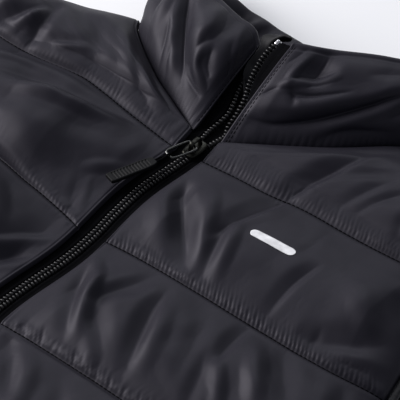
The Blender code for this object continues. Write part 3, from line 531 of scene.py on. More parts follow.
# Main creases: x, y along each one, height (below 0 for a valley), half width at the start,
# middle and end, how sharp, and how much wider the left side is, seen from its start.
creases = {
    "left": (
        # a broad hollow along the zip
        (((6, -600), (6, -300), (6, 10)), -4.5, (50, 50, 50), 0.0, 1.0),
        # between the second and third quilt lines
        (((10, -36), (24, -55), (39, -73), (53, -90), (62, -104)), -8.6, (9, 12, 13), 0.7, 0.8),
        (((30, -34), (45, -57), (57, -80), (68, -104)), 2.4, (7, 8, 7), 0.1, 1.0),
        (((6, -50), (14, -64), (28, -82), (42, -100)), 2.2, (9, 13, 9), 0.1, 1.0),
        (((92, 50), (84, 24), (76, 2), (71, -20), (67, -40), (63, -57), (58, -80)), -5.4, (11, 15, 9),
         0.6, 0.22),
        (((61, -60), (66, -78), (74, -106)), -2.6, (5, 7, 5), 0.5, 0.8),
        (((64, -54), (72, -76), (83, -106)), 3.0, (6, 8, 6), 0.2, 1.0),
        (((121, -52), (118, -76), (120, -104)), -3.0, (7, 10, 7), 0.6, 0.35),
        (((106, -26), (108, -42), (106, -56)), -1.2, (5, 7, 5), 0.5, 0.5),
        (((138, -99), (152, -97), (168, -88), (190, -70)), -4.4, (8, 11, 8), 0.6, 1.4),
        (((148, -103), (168, -98), (188, -88), (195, -80)), 2.4, (4, 6, 4), 0.2, 1.0),
        (((149, -90), (151, -98), (152, -107)), -1.2, (3, 4, 4), 0.5, 1.0),
        (((166, -40), (178, -50), (192, -60)), -2.4, (6, 9, 6), 0.5, 1.2),
        (((140, -50), (160, -66), (178, -78)), 1.6, (9, 12, 9), 0.1, 1.0),
        # between the third and fourth quilt lines
        (((11, -117), (22, -130), (32, -142), (37, -158)), 3.4, (4, 6, 4), 0.4, 1.0),
        (((54, -112), (47, -132), (39, -158)), -3.8, (7, 9, 4), 0.5, 1.6),
        (((16, -132), (24, -148), (34, -166), (46, -188)), -4.4, (6, 9, 7), 0.5, 0.7),
        (((26, -136), (38, -160), (52, -182)), 3.2, (6, 9, 7), 0.2, 1.0),
        (((36, -140), (50, -166), (66, -186)), -3.4, (7, 10, 8), 0.3, 1.4),
        (((48, -168), (62, -184), (76, -204)), 3.0, (5, 7, 6), 0.3, 1.0),
        (((64, -112), (70, -138), (79, -162), (90, -192)), -4.6, (8, 12, 8), 0.5, 0.5),
        (((74, -128), (84, -152), (96, -184)), 2.0, (7, 9, 7), 0.2, 1.0),
        (((94, -116), (104, -146), (116, -176)), -1.6, (8, 10, 8), 0.3, 0.7),
        (((116, -108), (118, -128), (123, -152)), -3.8, (7, 10, 6), 0.5, 0.6),
        (((126, -116), (142, -140), (160, -166)), 3.2, (7, 10, 8), 0.1, 1.0),
        (((140, -110), (154, -130), (172, -150)), -3.2, (7, 11, 8), 0.4, 1.0),
        (((120, -144), (134, -162), (148, -184)), 2.8, (5, 7, 6), 0.3, 1.0),
        (((112, -144), (122, -166), (132, -190)), -2.4, (6, 8, 6), 0.4, 1.0),
        (((182, -110), (190, -126), (196, -146)), -2.4, (6, 9, 6), 0.5, 1.0),
        # below the fourth
        (((14, -200), (30, -212), (56, -240)), -3.6, (6, 9, 7), 0.5, 0.7),
        (((26, -198), (44, -216), (66, -250)), 2.8, (6, 9, 7), 0.3, 1.0),
        (((60, -204), (76, -226), (92, -262)), -3.4, (7, 11, 8), 0.5, 0.7),
        # yoke above the second quilt line
        (((114, 34), (105, 12), (97, -12)), -1.6, (6, 8, 6), 0.4, 0.6),
        (((126, 30), (114, 8), (108, -10)), -1.2, (4, 5, 4), 0.5, 0.8),
        (((132, 14), (136, 2), (142, -12)), -1.4, (4, 5, 4), 0.5, 1.0),
        (((160, 26), (150, 4), (142, -10)), -2.2, (6, 8, 5), 0.5, 1.0),
    ),
    "right": (
        # a broad hollow along the zip, and broad swells beside it
        (((-10, -600), (-10, -300), (-10, 10)), -5.0, (60, 60, 60), 0.0, 1.0),
        (((-116, -330), (-116, -160), (-112, 0)), 9.0, (92, 92, 92), 0.0, 1.0),
        (((-100, -52), (-60, -46), (-14, -42)), 4.0, (44, 44, 40), 0.0, 0.5),
        (((-82, -106), (-82, -150), (-84, -210)), 10.0, (64, 64, 64), 0.0, 1.0),
        (((-70, -44), (-74, -80), (-78, -110)), 5.0, (52, 52, 52), 0.0, 0.5),
        # yoke, from the neck seam
        (((-104, 58), (-85, 28), (-65, 6), (-36, -22)), 2.6, (8, 10, 8), 0.0, 1.0),
        (((-92, 52), (-75, 25), (-56, 3), (-30, -20)), -1.6, (5, 6, 5), 0.2, 1.0),
        (((-80, 30), (-62, 12), (-43, -2), (-4, -17)), 2.4, (5, 6, 5), 0.1, 1.0),
        (((-56, 14), (-40, 3), (-20, -5)), -1.4, (4, 5, 4), 0.4, 1.0),
        (((-58, -1), (-42, -10), (-22, -19)), -1.4, (4, 5, 4), 0.3, 1.0),
        (((-110, 36), (-94, 10), (-80, -14)), -1.8, (8, 11, 8), 0.2, 1.0),
        (((-124, -15), (-110, -8), (-94, 1)), 1.8, (3, 4, 3), 0.4, 1.0),
        (((-124, -8), (-110, -2), (-98, 6)), -1.4, (4, 5, 4), 0.4, 1.0),
        (((-154, -14), (-143, 2), (-133, 24)), -3.6, (5, 7, 5), 0.7, 1.0),
        (((-126, -34), (-127, -14), (-130, 6), (-134, 26)), -4.0, (5, 7, 5), 0.6, 1.0),
        (((-146, -24), (-139, -4), (-136, 16)), 2.4, (5, 6, 4), 0.3, 1.0),
        (((-168, -20), (-156, 2), (-146, 26)), 2.4, (5, 7, 5), 0.3, 1.0),
        (((-176, -8), (-164, 12), (-154, 30)), -2.8, (5, 6, 4), 0.6, 1.0),
        # between the second and third quilt lines
        (((-150, -56), (-124, -36), (-96, -27), (-50, -22)), 4.4, (7, 8, 6), 0.3, 1.0),
        (((-134, -60), (-100, -43), (-68, -33), (-34, -26)), -3.4, (7, 8, 6), 0.4, 1.0),
        (((-112, -62), (-80, -50), (-56, -40), (-30, -26)), 4.6, (6, 8, 6), 0.3, 1.0),
        (((-120, -78), (-84, -66), (-54, -54), (-26, -36)), -2.6, (12, 17, 12), 0.1, 1.0),
        (((-90, -96), (-66, -88), (-44, -72)), 2.0, (10, 14, 10), 0.0, 1.0),
        (((-36, -76), (-27, -66), (-14, -54)), 1.8, (4, 5, 4), 0.3, 1.0),
        (((-28, -76), (-18, -94), (-8, -112)), 1.8, (3, 4, 3), 0.4, 1.0),
        (((-34, -80), (-24, -98), (-15, -112)), -1.4, (4, 5, 4), 0.3, 1.0),
        (((-176, -58), (-152, -70), (-128, -94)), -3.4, (8, 12, 7), 0.6, 1.0),
        (((-150, -52), (-136, -68), (-122, -96)), 2.4, (8, 11, 7), 0.2, 1.0),
        # below the third
        (((-40, -164), (-28, -148), (-18, -134), (-8, -126)), 3.2, (4, 6, 4), 0.4, 1.0),
        (((-30, -168), (-20, -152), (-8, -142)), -2.8, (5, 6, 4), 0.5, 1.0),
        (((-26, -172), (-16, -160), (-6, -152)), 1.8, (4, 5, 4), 0.3, 1.0),
        (((-60, -112), (-48, -122), (-36, -136)), -1.4, (6, 8, 6), 0.2, 1.0),
        (((-66, -122), (-50, -146), (-40, -178)), -2.8, (8, 11, 8), 0.4, 1.0),
        (((-92, -118), (-80, -148), (-70, -184)), 3.0, (10, 14, 9), 0.2, 1.0),
        (((-136, -122), (-118, -146), (-108, -176)), -3.4, (8, 12, 8), 0.6, 1.0),
    ),
}


def hiddenCreases(side, seed):
    # diagonal folds of the same kind for the lower baffles and the back
    draw = np.random.default_rng(seed)
    found = []
    for low, high in zip(body["quiltY"][:5], body["quiltY"][1:6]):
        if high - low < 50:
            continue
        x, main = 16 + draw.uniform(0, 22), draw.uniform(16, 34)
        while x < 226:
            reach = draw.uniform(0.45, 1.0)                  # how far down its baffle it runs
            top = high - draw.uniform(1, 16)
            bottom = top - (top - low - 6) * reach
            lean = (main + draw.uniform(-12, 14)) * reach
            valley = draw.uniform() < 0.5
            height = draw.uniform(1.4, 4.4) * (-1 if valley else 0.8)
            wide = draw.uniform(9, 17)
            bend = draw.uniform(-6, 6)
            line = ((side * x, top), (side * (x + lean / 2 + bend), (top + bottom) / 2),
                    (side * (x + lean), bottom))
            found.append((line, height, (wide * 0.8, wide, wide * 0.5), draw.uniform(0.1, 0.6), 1.0))
            x += draw.uniform(17, 46)
    return found


def creaseHeights(flat, table):
    # sum of the creases at each x, y
    total = np.zeros(flat.shape[:-1])
    for line, height, wide, sharp, skew in table:
        line = smoothCurve(np.linspace(0, 1, len(line)), line, np.linspace(0, 1, 16))
        reach = 1.3 * max(wide) * max(skew, 1)
        near = ((flat > line.min(0) - reach) & (flat < line.max(0) + reach)).all(-1)
        points = flat[near]
        if not len(points):
            continue
        steps = line[1:] - line[:-1]
        away = points[:, None] - line[None, :-1]
        share = np.clip((away * steps).sum(-1) / (steps**2).sum(-1), 0, 1)
        offset = away - share[..., None] * steps
        distance = np.linalg.norm(offset, axis=-1)
        best = distance.argmin(1)
        pick = np.arange(len(points))
        along = (best + share[pick, best]) / len(steps)
        cross = steps[best, 0] * offset[pick, best, 1] - steps[best, 1] * offset[pick, best, 0]
        half = np.interp(along, (0, 0.5, 1), wide)
        half = half * (1 + (skew - 1) * smoothStep(0.5 + cross / np.maximum(half, 1)))
        r = np.clip(distance[pick, best] / half, 0, 1)
        ends = np.sin(np.pi * np.clip(along, 0, 1)) ** 0.9
        rounded, pointed = np.cos(r * math.pi / 2) ** 2, (1 - r) ** 1.25
        total[near] += height * ends * (rounded * (1 - sharp) + pointed * sharp)
    return total


# Cloth settling
def drawTogether(grid, free, a, b, gap, off):
    # moves both ends of each gap by how free they are
    both = free[a] + free[b]
    move = gap * (off / np.maximum(both, 1e-6))[..., None]
    grid[a] += move * free[a][..., None]
    grid[b] -= move * free[b][..., None]


def drawPairs(grid, free, axis, reach, rest, share, pushOnly=False):
    # brings points `reach` apart along rows (0) or columns (1) to their rest distance
    for start in range(2 * reach):
        first = slice(start, grid.shape[axis] - reach, 2 * reach)
        second = slice(start + reach, grid.shape[axis], 2 * reach)
        a, b = (first, second) if axis == 0 else ((slice(None), first), (slice(None), second))
        gap = grid[b] - grid[a]
        length = np.sqrt(np.einsum("ijk,ijk->ij", gap, gap)) + 1e-9
        off = (length - rest[a]) / length
        if pushOnly:
            off = np.minimum(off, 0)
        drawTogether(grid, free, a, b, gap, off * share)


def drawDiagonals(grid, free, way, rest, share):
    for start in (0, 1):
        rowsA, rowsB = slice(start, grid.shape[0] - 1, 2), slice(start + 1, grid.shape[0], 2)
        left, right = slice(0, grid.shape[1] - 1), slice(1, grid.shape[1])
        a, b = ((rowsA, left), (rowsB, right)) if way > 0 else ((rowsA, right), (rowsB, left))
        gap = grid[b] - grid[a]
        length = np.sqrt(np.einsum("ijk,ijk->ij", gap, gap)) + 1e-9
        off = (length - rest[rowsA]) / length
        drawTogether(grid, free, a, b, gap, off * share)


def blurred(field, reach):
    # box average over 2*reach+1 points each way, twice over
    for _ in range(2):
        for axis in (0, 1):
            edge = [(0, 0)] * field.ndim
            edge[axis] = (reach + 1, reach)
            total = np.cumsum(np.pad(field, edge, mode="edge"), axis=axis, dtype=np.float64)
            size = field.shape[axis]
            high = np.take(total, range(2 * reach + 1, 2 * reach + 1 + size), axis=axis)
            low = np.take(total, range(0, size), axis=axis)
            field = ((high - low) / (2 * reach + 1)).astype(np.float32)
    return field


settling = {
    "steps": 120,
    "quickSteps": 40,
    "glide": 0.85,       # share of the last movement that goes on
    "diagonal": 0.35,    # how firmly the diagonals keep their length
    "slack": 0.995,      # of twice the spacing, before the cloth stiffens against a bend
    "holdEvery": 4,
    "holdReach": 5,      # grid points over which the slow movement is averaged
    "hold": 0.35,        # share of the slow movement that is taken back
}


def settle(form, free, growAcross, growAlong, steps, seed, bend, stir, push=0.012, outwards=1.0):
    # quasi-static cloth: rest lengths a little longer than the form, held seams, light pressure,
    # and a hold on the slow part of the movement so that the placed folds stay
    form = form.astype(np.float32)
    free = free.astype(np.float32)
    lengthOf = lambda gap: np.linalg.norm(gap, axis=-1)
    across = (lengthOf(form[:, 1:] - form[:, :-1])
              * (1 + (growAcross[:, 1:] + growAcross[:, :-1]) / 2)).astype(np.float32)
    along = (lengthOf(form[1:] - form[:-1])
             * (1 + (growAlong[1:] + growAlong[:-1]) / 2)).astype(np.float32)
    across2 = (across[:, 1:] + across[:, :-1]) * settling["slack"]
    along2 = (along[1:] + along[:-1]) * settling["slack"]
    grown = 1 + (growAcross + growAlong)[:-1, :-1] / 2
    down = (lengthOf(form[1:, 1:] - form[:-1, :-1]) * grown).astype(np.float32)
    up = (lengthOf(form[1:, :-1] - form[:-1, 1:]) * grown).astype(np.float32)
    draw = np.random.default_rng(seed)
    grid = form.copy()
    ripple = draw.standard_normal(form.shape[:2]).astype(np.float32)[..., None]
    ripple = blurred(ripple, 1)
    grid += gridNormals(form).astype(np.float32) * ripple * stir * free[..., None]
    before = grid.copy()
    for step in range(steps):
        glide = (grid - before) * settling["glide"]
        before = grid.copy()
        normal = gridNormals(grid).astype(np.float32) * outwards
        grid += (glide + normal * push) * free[..., None]
        drawPairs(grid, free, 1, 1, across, 1.0)
        drawPairs(grid, free, 0, 1, along, 1.0)
        drawDiagonals(grid, free, 1, down, settling["diagonal"])
        drawDiagonals(grid, free, -1, up, settling["diagonal"])
        drawPairs(grid, free, 1, 2, across2, bend[0], True)
        drawPairs(grid, free, 0, 2, along2, bend[1], True)
        if (step + 1) % settling["holdEvery"] == 0:
            slow = blurred(grid - form, settling["holdReach"])
            grid -= slow * settling["hold"] * free[..., None]
    return grid.astype(float)


def puckers(x, distance, seed, pitch=2.8, slant=0.6):
    # fine pleats across a seam: about one a stitch, leaning, and uneven in pitch and depth
    draw = np.random.default_rng(seed)
    places = np.arange(-300, 300, 1.5)
    pitches = pitch * np.exp(0.13 * np.interp(places, places[::3], draw.standard_normal(len(places[::3]))))
    phase = np.cumsum(1.5 / pitches) * 2 * math.pi
    depth = np.interp(places, places[::4], draw.uniform(0.5, 1.2, len(places[::4])))
    reach = np.interp(places, places[::5], draw.uniform(0.6, 1.5, len(places[::5])))
    leaning = x + slant * distance
    wave = 2 * np.abs(np.sin(np.interp(leaning, places, phase) / 2)) - 1.3
    return wave * np.interp(leaning, places, depth), np.interp(leaning, places, reach)


def frontCloth(side, seed):
    rows = bodyRows(frontRowPlan)
    u = columnShares
    flat, middle, full, reach, roll = frontMiddle(side, rows, u)
    word = sideWord(side)
    table = list(creases[word]) + hiddenCreases(side, seed)
    folds = blurred(creaseHeights(flat, table), 1)
    slow = (softNoise(flat.shape[:2], (20, 10), seed + 1) * 0.8
            + softNoise(flat.shape[:2], (44, 22), seed + 2) * 0.25)
    puff = layers["frontUp"] * full + (folds + slow) * reach
    gaps = baffleHeights(rows, body["yokeTop"])
    toSeam = np.minimum(rows[:, 1], 1 - rows[:, 1]) * gaps
    groove = (layers["groove"] * np.exp(-(toSeam / 0.8) ** 2))[:, None]
    top = np.dstack([flat, middle + layers["seamHalf"] + puff - roll - groove])
    under = swelling(rows[:, 1], 0.6)[:, None] * np.clip(full, 0, 1) ** 0.7
    bottom = np.dstack([flat, middle - layers["seamHalf"] - layers["frontDown"] * under])
    return rows, top, bottom


frontPleats = {
    # reach above a seam, height, and share of the extra cloth: the right front puckers less
    "left": (6.0, 0.46, 1.0),
    "right": (3.6, 0.3, 0.5),
    "reachBelow": 2.6,
    "yokeShare": 0.7,
    "shareBelow": 0.4,        # none below the shoulder seam
    "sinkHeight": 0.25,       # the cloth dips beside the stitches
    "sinkReach": 2.2,
    "grow": 0.003,            # extra cloth everywhere, then above and below a seam, and its reach
    "growAbove": (0.036, 5.5),
    "growBelow": (0.008, 3.0),
    "growYoke": (0.014, 3.5),
}


def frontPiece(side, seed, steps):
    word = sideWord(side)
    rows, top, bottom = frontCloth(side, seed)
    gaps = baffleHeights(rows, body["yokeTop"])
    above, below = (rows[:, 1] * gaps)[:, None], ((1 - rows[:, 1]) * gaps)[:, None]
    shape = top.shape[:2]
    free = np.ones(shape)
    free[(rows[:, 1] == 0) | (rows[:, 1] == 1)] = 0
    free[:, :8] = 0
    free[:, -2:] = 0
    fromZip = np.abs(top[..., 0]) - body["frontEdge"]
    free *= np.clip((fromZip - 3.5) / 3, 0, 1)
    pleats, yoke = frontPleats, len(frontRowPlan) - 1
    pleatReach, pleatHeight, pleatGrow = pleats[word]
    high, low = np.zeros(shape), np.zeros(shape)
    for k in range(len(frontRowPlan)):
        chosen = rows[:, 0] == k
        x = top[chosen][..., 0]
        wave, reach = puckers(x, above[chosen], seed + 10 + k)
        fall = np.exp(-(above[chosen] / (pleatReach * reach)) ** 2)
        high[chosen] = wave * fall * (pleats["yokeShare"] if k == yoke else 1)
        wave, reach = puckers(x, -below[chosen], seed + 30 + k, slant=0.2)
        fall = np.exp(-(below[chosen] / (pleats["reachBelow"] * reach)) ** 2)
        low[chosen] = wave * fall * (pleats["shareBelow"] if k < yoke else 0.0)
    near = np.clip(above / 1.2, 0, 1) * np.clip(below / 1.2, 0, 1)
    fade = np.clip((fromZip - 3) / 4, 0, 1)
    sunk = pleats["sinkHeight"] * near * np.exp(-(above / pleats["sinkReach"]) ** 2)
    top[..., 2] += (high + low) * near * fade * pleatHeight - sunk
    (moreAbove, reachAbove), (moreBelow, reachBelow) = pleats["growAbove"], pleats["growBelow"]
    growAcross = (pleats["grow"] + moreAbove * pleatGrow * np.exp(-above / reachAbove)
                  + moreBelow * np.exp(-below / reachBelow) + np.zeros(shape))
    last, (moreYoke, reachYoke) = rows[:, 0] == yoke, pleats["growYoke"]
    growAcross[last] = pleats["grow"] + moreYoke * np.exp(-above[last] / reachYoke)
    growAlong = np.full(shape, pleats["grow"])
    if steps:
        form = top
        top = settle(top, free, growAcross, growAlong, steps, seed + 5, outwards=float(side),
                     bend=(0.05, 0.2), stir=0.12)
        fine = (top - form) - blurred(blurred(top - form, 3), 4)
        fine[..., 1] *= smoothStep(np.minimum(above, below) / 8)   # or the swelling opens the seam
        keep = 0.25 + 0.75 * np.clip(np.exp(-(above / 10) ** 4) + np.exp(-(below / 6) ** 4), 0, 1)
        top = form + fine * keep[..., None]
    made = closedShell(f"front{word.capitalize()}Shell", top, bottom[::4, ::4], finishes["shell"],
                       4, side)
    standsFor(f"front_{word}")
    return top, rows


steps = settling["steps"]
started = time.time()
leftTop, frontRows = frontPiece(1, 21, steps)
rightTop, _ = frontPiece(-1, 41, steps)
print("fronts settled", round(time.time() - started, 1))


# Collar
collarShape = {
    "puff": 3.0,
    "seamShift": 2.8,
    "left": np.array([  # place, seam z, top x, y, z, bow
        (0, 26, 8.5, 67, 55, 2.5), (0.12, 27, 18, 72, 54, 4), (0.3, 27.5, 30, 80, 52, 6),
        (0.58, 27.5, 58, 98, 50, 7), (0.82, 25.5, 84, 115, 43, 4.5), (1, 12.5, 105, 127, 24, 1.5),
        (1.15, 8, 94, 122, 12, 1), (1.5, 6.8, 56, 115, 9, 0), (2, 6.5, 0, 110, 9, 0)]),
    "right": np.array([
        (0, 25.6, -12.5, 62, 43, 1.5), (0.14, 26.5, -21, 69, 45.5, 4), (0.32, 27.5, -35, 71, 46, 6),
        (0.58, 27.5, -58, 79, 45, 7.5), (0.82, 25.5, -86, 98, 39, 4.5), (1, 12.5, -105, 119, 25, 1.5),
        (1.15, 8, -95, 120, 13, 1), (1.5, 6.8, -58, 115, 9, 0), (2, 6.5, 0, 110, 9, 0)]),
    "rollWide": 0.24,
    "rollDrop": 6.0,
    "length": 126.0,   # of the neck seam from the zip to the high shoulder point
    "height": 70.0,
    "leastZ": 0.6,     # clear of the table
    "edgeRoll": ((0.8, 0.972, 0.02), (-0.35, 0.93, 0.012)),   # height, share of the height, width
    "seamReach": 4.5,  # how far up its lower edge bends to meet the fronts
    "seamGap": 0.35,
    "seamSink": 0.4,
    "puckerHeight": 0.14,
}

collarCreases = {  # as on the fronts, but the lines are place round the neck and share of the height
    "left": (
        (((0, 0.19), (0.1, 0.15), (0.17, 0.125), (0.26, 0.15), (0.36, 0.2), (0.46, 0.28), (0.56, 0.38),
          (0.66, 0.48), (0.78, 0.56)), -5.4, (7, 8, 7), 0.5, 0.5),
        (((-0.02, 0.3), (0.12, 0.28), (0.26, 0.3), (0.4, 0.37), (0.54, 0.47), (0.72, 0.62)), 2.2,
         (7, 8, 7), 0.0, 1.6),
        (((0, 0.06), (0.14, 0.04), (0.3, 0.08)), 2.0, (4, 5, 4), 0.2, 1.0),
        (((0.36, 0.02), (0.48, 0.1), (0.6, 0.11), (0.76, 0.06)), -3.0, (4, 5, 4), 0.5, 0.6),
        (((0.262, 0.5), (0.27, 0.66), (0.28, 0.84), (0.27, 1.06)), -6.4, (12, 15, 12), 0.5, 1.25),
        (((0.1, 0.52), (0.19, 0.55), (0.29, 0.585), (0.4, 0.66)), 2.8, (4, 5, 4), 0.2, 1.0),
        (((0.15, 0.5), (0.14, 0.7), (0.175, 0.92)), 2.0, (4, 5, 4), 0.2, 1.0),
        (((0.16, 0.5), (0.21, 0.44), (0.28, 0.42), (0.37, 0.44), (0.48, 0.5)), -2.8, (3, 4.5, 3), 0.6, 0.7),
        (((0.03, 0.37), (0.06, 0.44), (0.12, 0.49)), -1.8, (3, 4, 3), 0.5, 1.0),
        (((0.18, 0.46), (0.215, 0.38), (0.24, 0.3)), -1.8, (2.5, 3.5, 2.5), 0.6, 1.0),
        (((0.04, 0.72), (0.09, 0.86), (0.12, 1)), -1.6, (3, 5, 3), 0.4, 1.0),
        (((0.5, 0.7), (0.6, 0.74), (0.74, 0.76)), -1.0, (5, 8, 5), 0.3, 1.0),
        (((0.68, 0.2), (0.74, 0.34), (0.84, 0.44)), -2.6, (5, 7, 5), 0.4, 1.0),
        (((0.78, 0.15), (0.84, 0.45), (0.86, 0.8)), 2.4, (6, 8, 6), 0.3, 1.0),
    ),
    "right": (
        (((0.72, 0.82), (0.64, 0.68), (0.57, 0.56), (0.5, 0.44), (0.43, 0.32), (0.37, 0.2), (0.31, 0.06)),
         -8.5, (10, 16, 9), 0.6, 0.55),
        (((0.47, 1.06), (0.42, 0.82), (0.365, 0.63), (0.37, 0.5), (0.34, 0.26)), 4.6, (9, 12, 8), 0.1, 1.6),
        (((0.3, 1.04), (0.27, 0.8), (0.26, 0.62)), -1.2, (8, 10, 7), 0.1, 1.0),
        (((0.22, 0.96), (0.16, 0.76), (0.08, 0.6)), 1.0, (5, 6, 4), 0.2, 1.0),
        (((0.2, 0.66), (0.12, 0.56), (0.02, 0.46)), -1.0, (4, 5, 4), 0.4, 1.0),
        (((0.27, 0.54), (0.3, 0.4), (0.285, 0.29), (0.21, 0.23), (0.12, 0.19)), 3.4, (4, 5, 4), 0.3, 1.0),
        (((0.25, 0.5), (0.22, 0.38), (0.15, 0.32)), -2.0, (4, 6, 4), 0.3, 1.0),
        (((0.33, 0.18), (0.24, 0.14), (0.12, 0.13)), -1.6, (3, 4, 3), 0.4, 1.0),
        (((0.6, 0.42), (0.55, 0.22), (0.5, 0.02)), -2.6, (3, 4.5, 3), 0.5, 1.6),
        (((0.55, 0.36), (0.52, 0.2), (0.47, 0.02)), 1.8, (3, 4, 3), 0.2, 1.0),
        (((0.47, 0.24), (0.43, 0.12), (0.38, 0)), 2.2, (3, 4.5, 3), 0.3, 1.0),
        (((0.34, 0.12), (0.3, 0.07), (0.24, 0.02)), -1.2, (2.5, 3.5, 2.5), 0.5, 1.0),
        (((0.73, 0.62), (0.69, 0.36), (0.64, 0.08)), 2.6, (7, 9, 6), 0.1, 1.0),
        (((0.82, 0.8), (0.77, 0.5), (0.72, 0.15)), -2.8, (6, 8, 6), 0.4, 1.0),
        (((0.92, 0.75), (0.87, 0.45), (0.82, 0.1)), 2.6, (6, 8, 6), 0.3, 1.0),
    ),
    # its inner face, from the centre back round to the right
    "inside": (
        (((0.62, 0.5), (0.64, 0.8), (0.66, 1.1)), 6.0, (11, 13, 11), 0.2, 1.0),
        (((0.47, 0.5), (0.49, 0.8), (0.53, 1.1)), -6.0, (9, 11, 9), 0.5, 1.0),
        (((0.4, 0.62), (0.37, 0.82), (0.4, 1.06)), 3.4, (7, 9, 7), 0.2, 1.0),
        (((0.3, 0.5), (0.32, 0.78), (0.28, 1.08)), -2.6, (6, 8, 6), 0.5, 1.0),
        (((0.2, 0.3), (0.12, 0.66), (0.16, 1.05)), 3.2, (9, 12, 9), 0.1, 1.0),
        (((-0.2, 0.2), (-0.12, 0.6), (-0.18, 1.05)), -3.4, (10, 13, 9), 0.3, 1.0),
        (((-0.44, 0.25), (-0.5, 0.6), (-0.46, 1.05)), 3.6, (9, 12, 9), 0.2, 1.0),
        (((-0.7, 0.3), (-0.64, 0.7), (-0.7, 1.05)), -3.0, (8, 11, 9), 0.3, 1.0),
        (((0.84, 0.2), (0.8, 0.6), (0.86, 1.05)), -3.4, (9, 11, 9), 0.3, 1.0),
    ),
}


def collarMiddle(at, up):
    # the collar's middle layer and outward directions, a row for each `up`; `at` runs from the
    # left front edge (0) round the back (2) to the right front edge (4)
    at, up = np.asarray(at, float), np.asarray(up, float)
    place, left = np.where(at <= 2, at, 4 - at), (at <= 2)[:, None]
    table = collarShape["left"], collarShape["right"]
    values = np.where(left, smoothCurve(table[0][:, 0], table[0][:, 1:], place),
                      smoothCurve(table[1][:, 0], table[1][:, 1:], place))
    seam = np.where(left, neckSeam(1, place), neckSeam(-1, place))
    side = np.where(at <= 2, 1.0, -1.0)
    before, after = np.clip(place - 0.02, 0, 0.98), np.clip(place + 0.02, 0.02, 1)
    along = np.where(left, neckSeam(1, after) - neckSeam(1, before),
                     neckSeam(-1, after) - neckSeam(-1, before))
    inward = unit(np.stack([-side * along[:, 1], side * along[:, 0]], axis=-1))
    upright = np.clip(np.maximum(1 - place / 0.1, (place - 0.8) / 0.3), 0, 1)[:, None]
    inward = unit(inward * (1 - upright) + np.array((0.0, 1.0)) * upright)
    low = np.column_stack([seam + collarShape["seamShift"] * inward, values[:, 0]])
    high = values[:, 1:4]
    middle = low + (high - low) * up[:, None, None]
    outward = unit(np.cross(np.gradient(low + high, axis=0), high - low))
    middle = middle + outward * values[:, 4:5] * (4 * up * (1 - up))[:, None, None]
    return middle, unit(np.cross(np.gradient(middle, axis=1), np.gradient(middle, axis=0)))


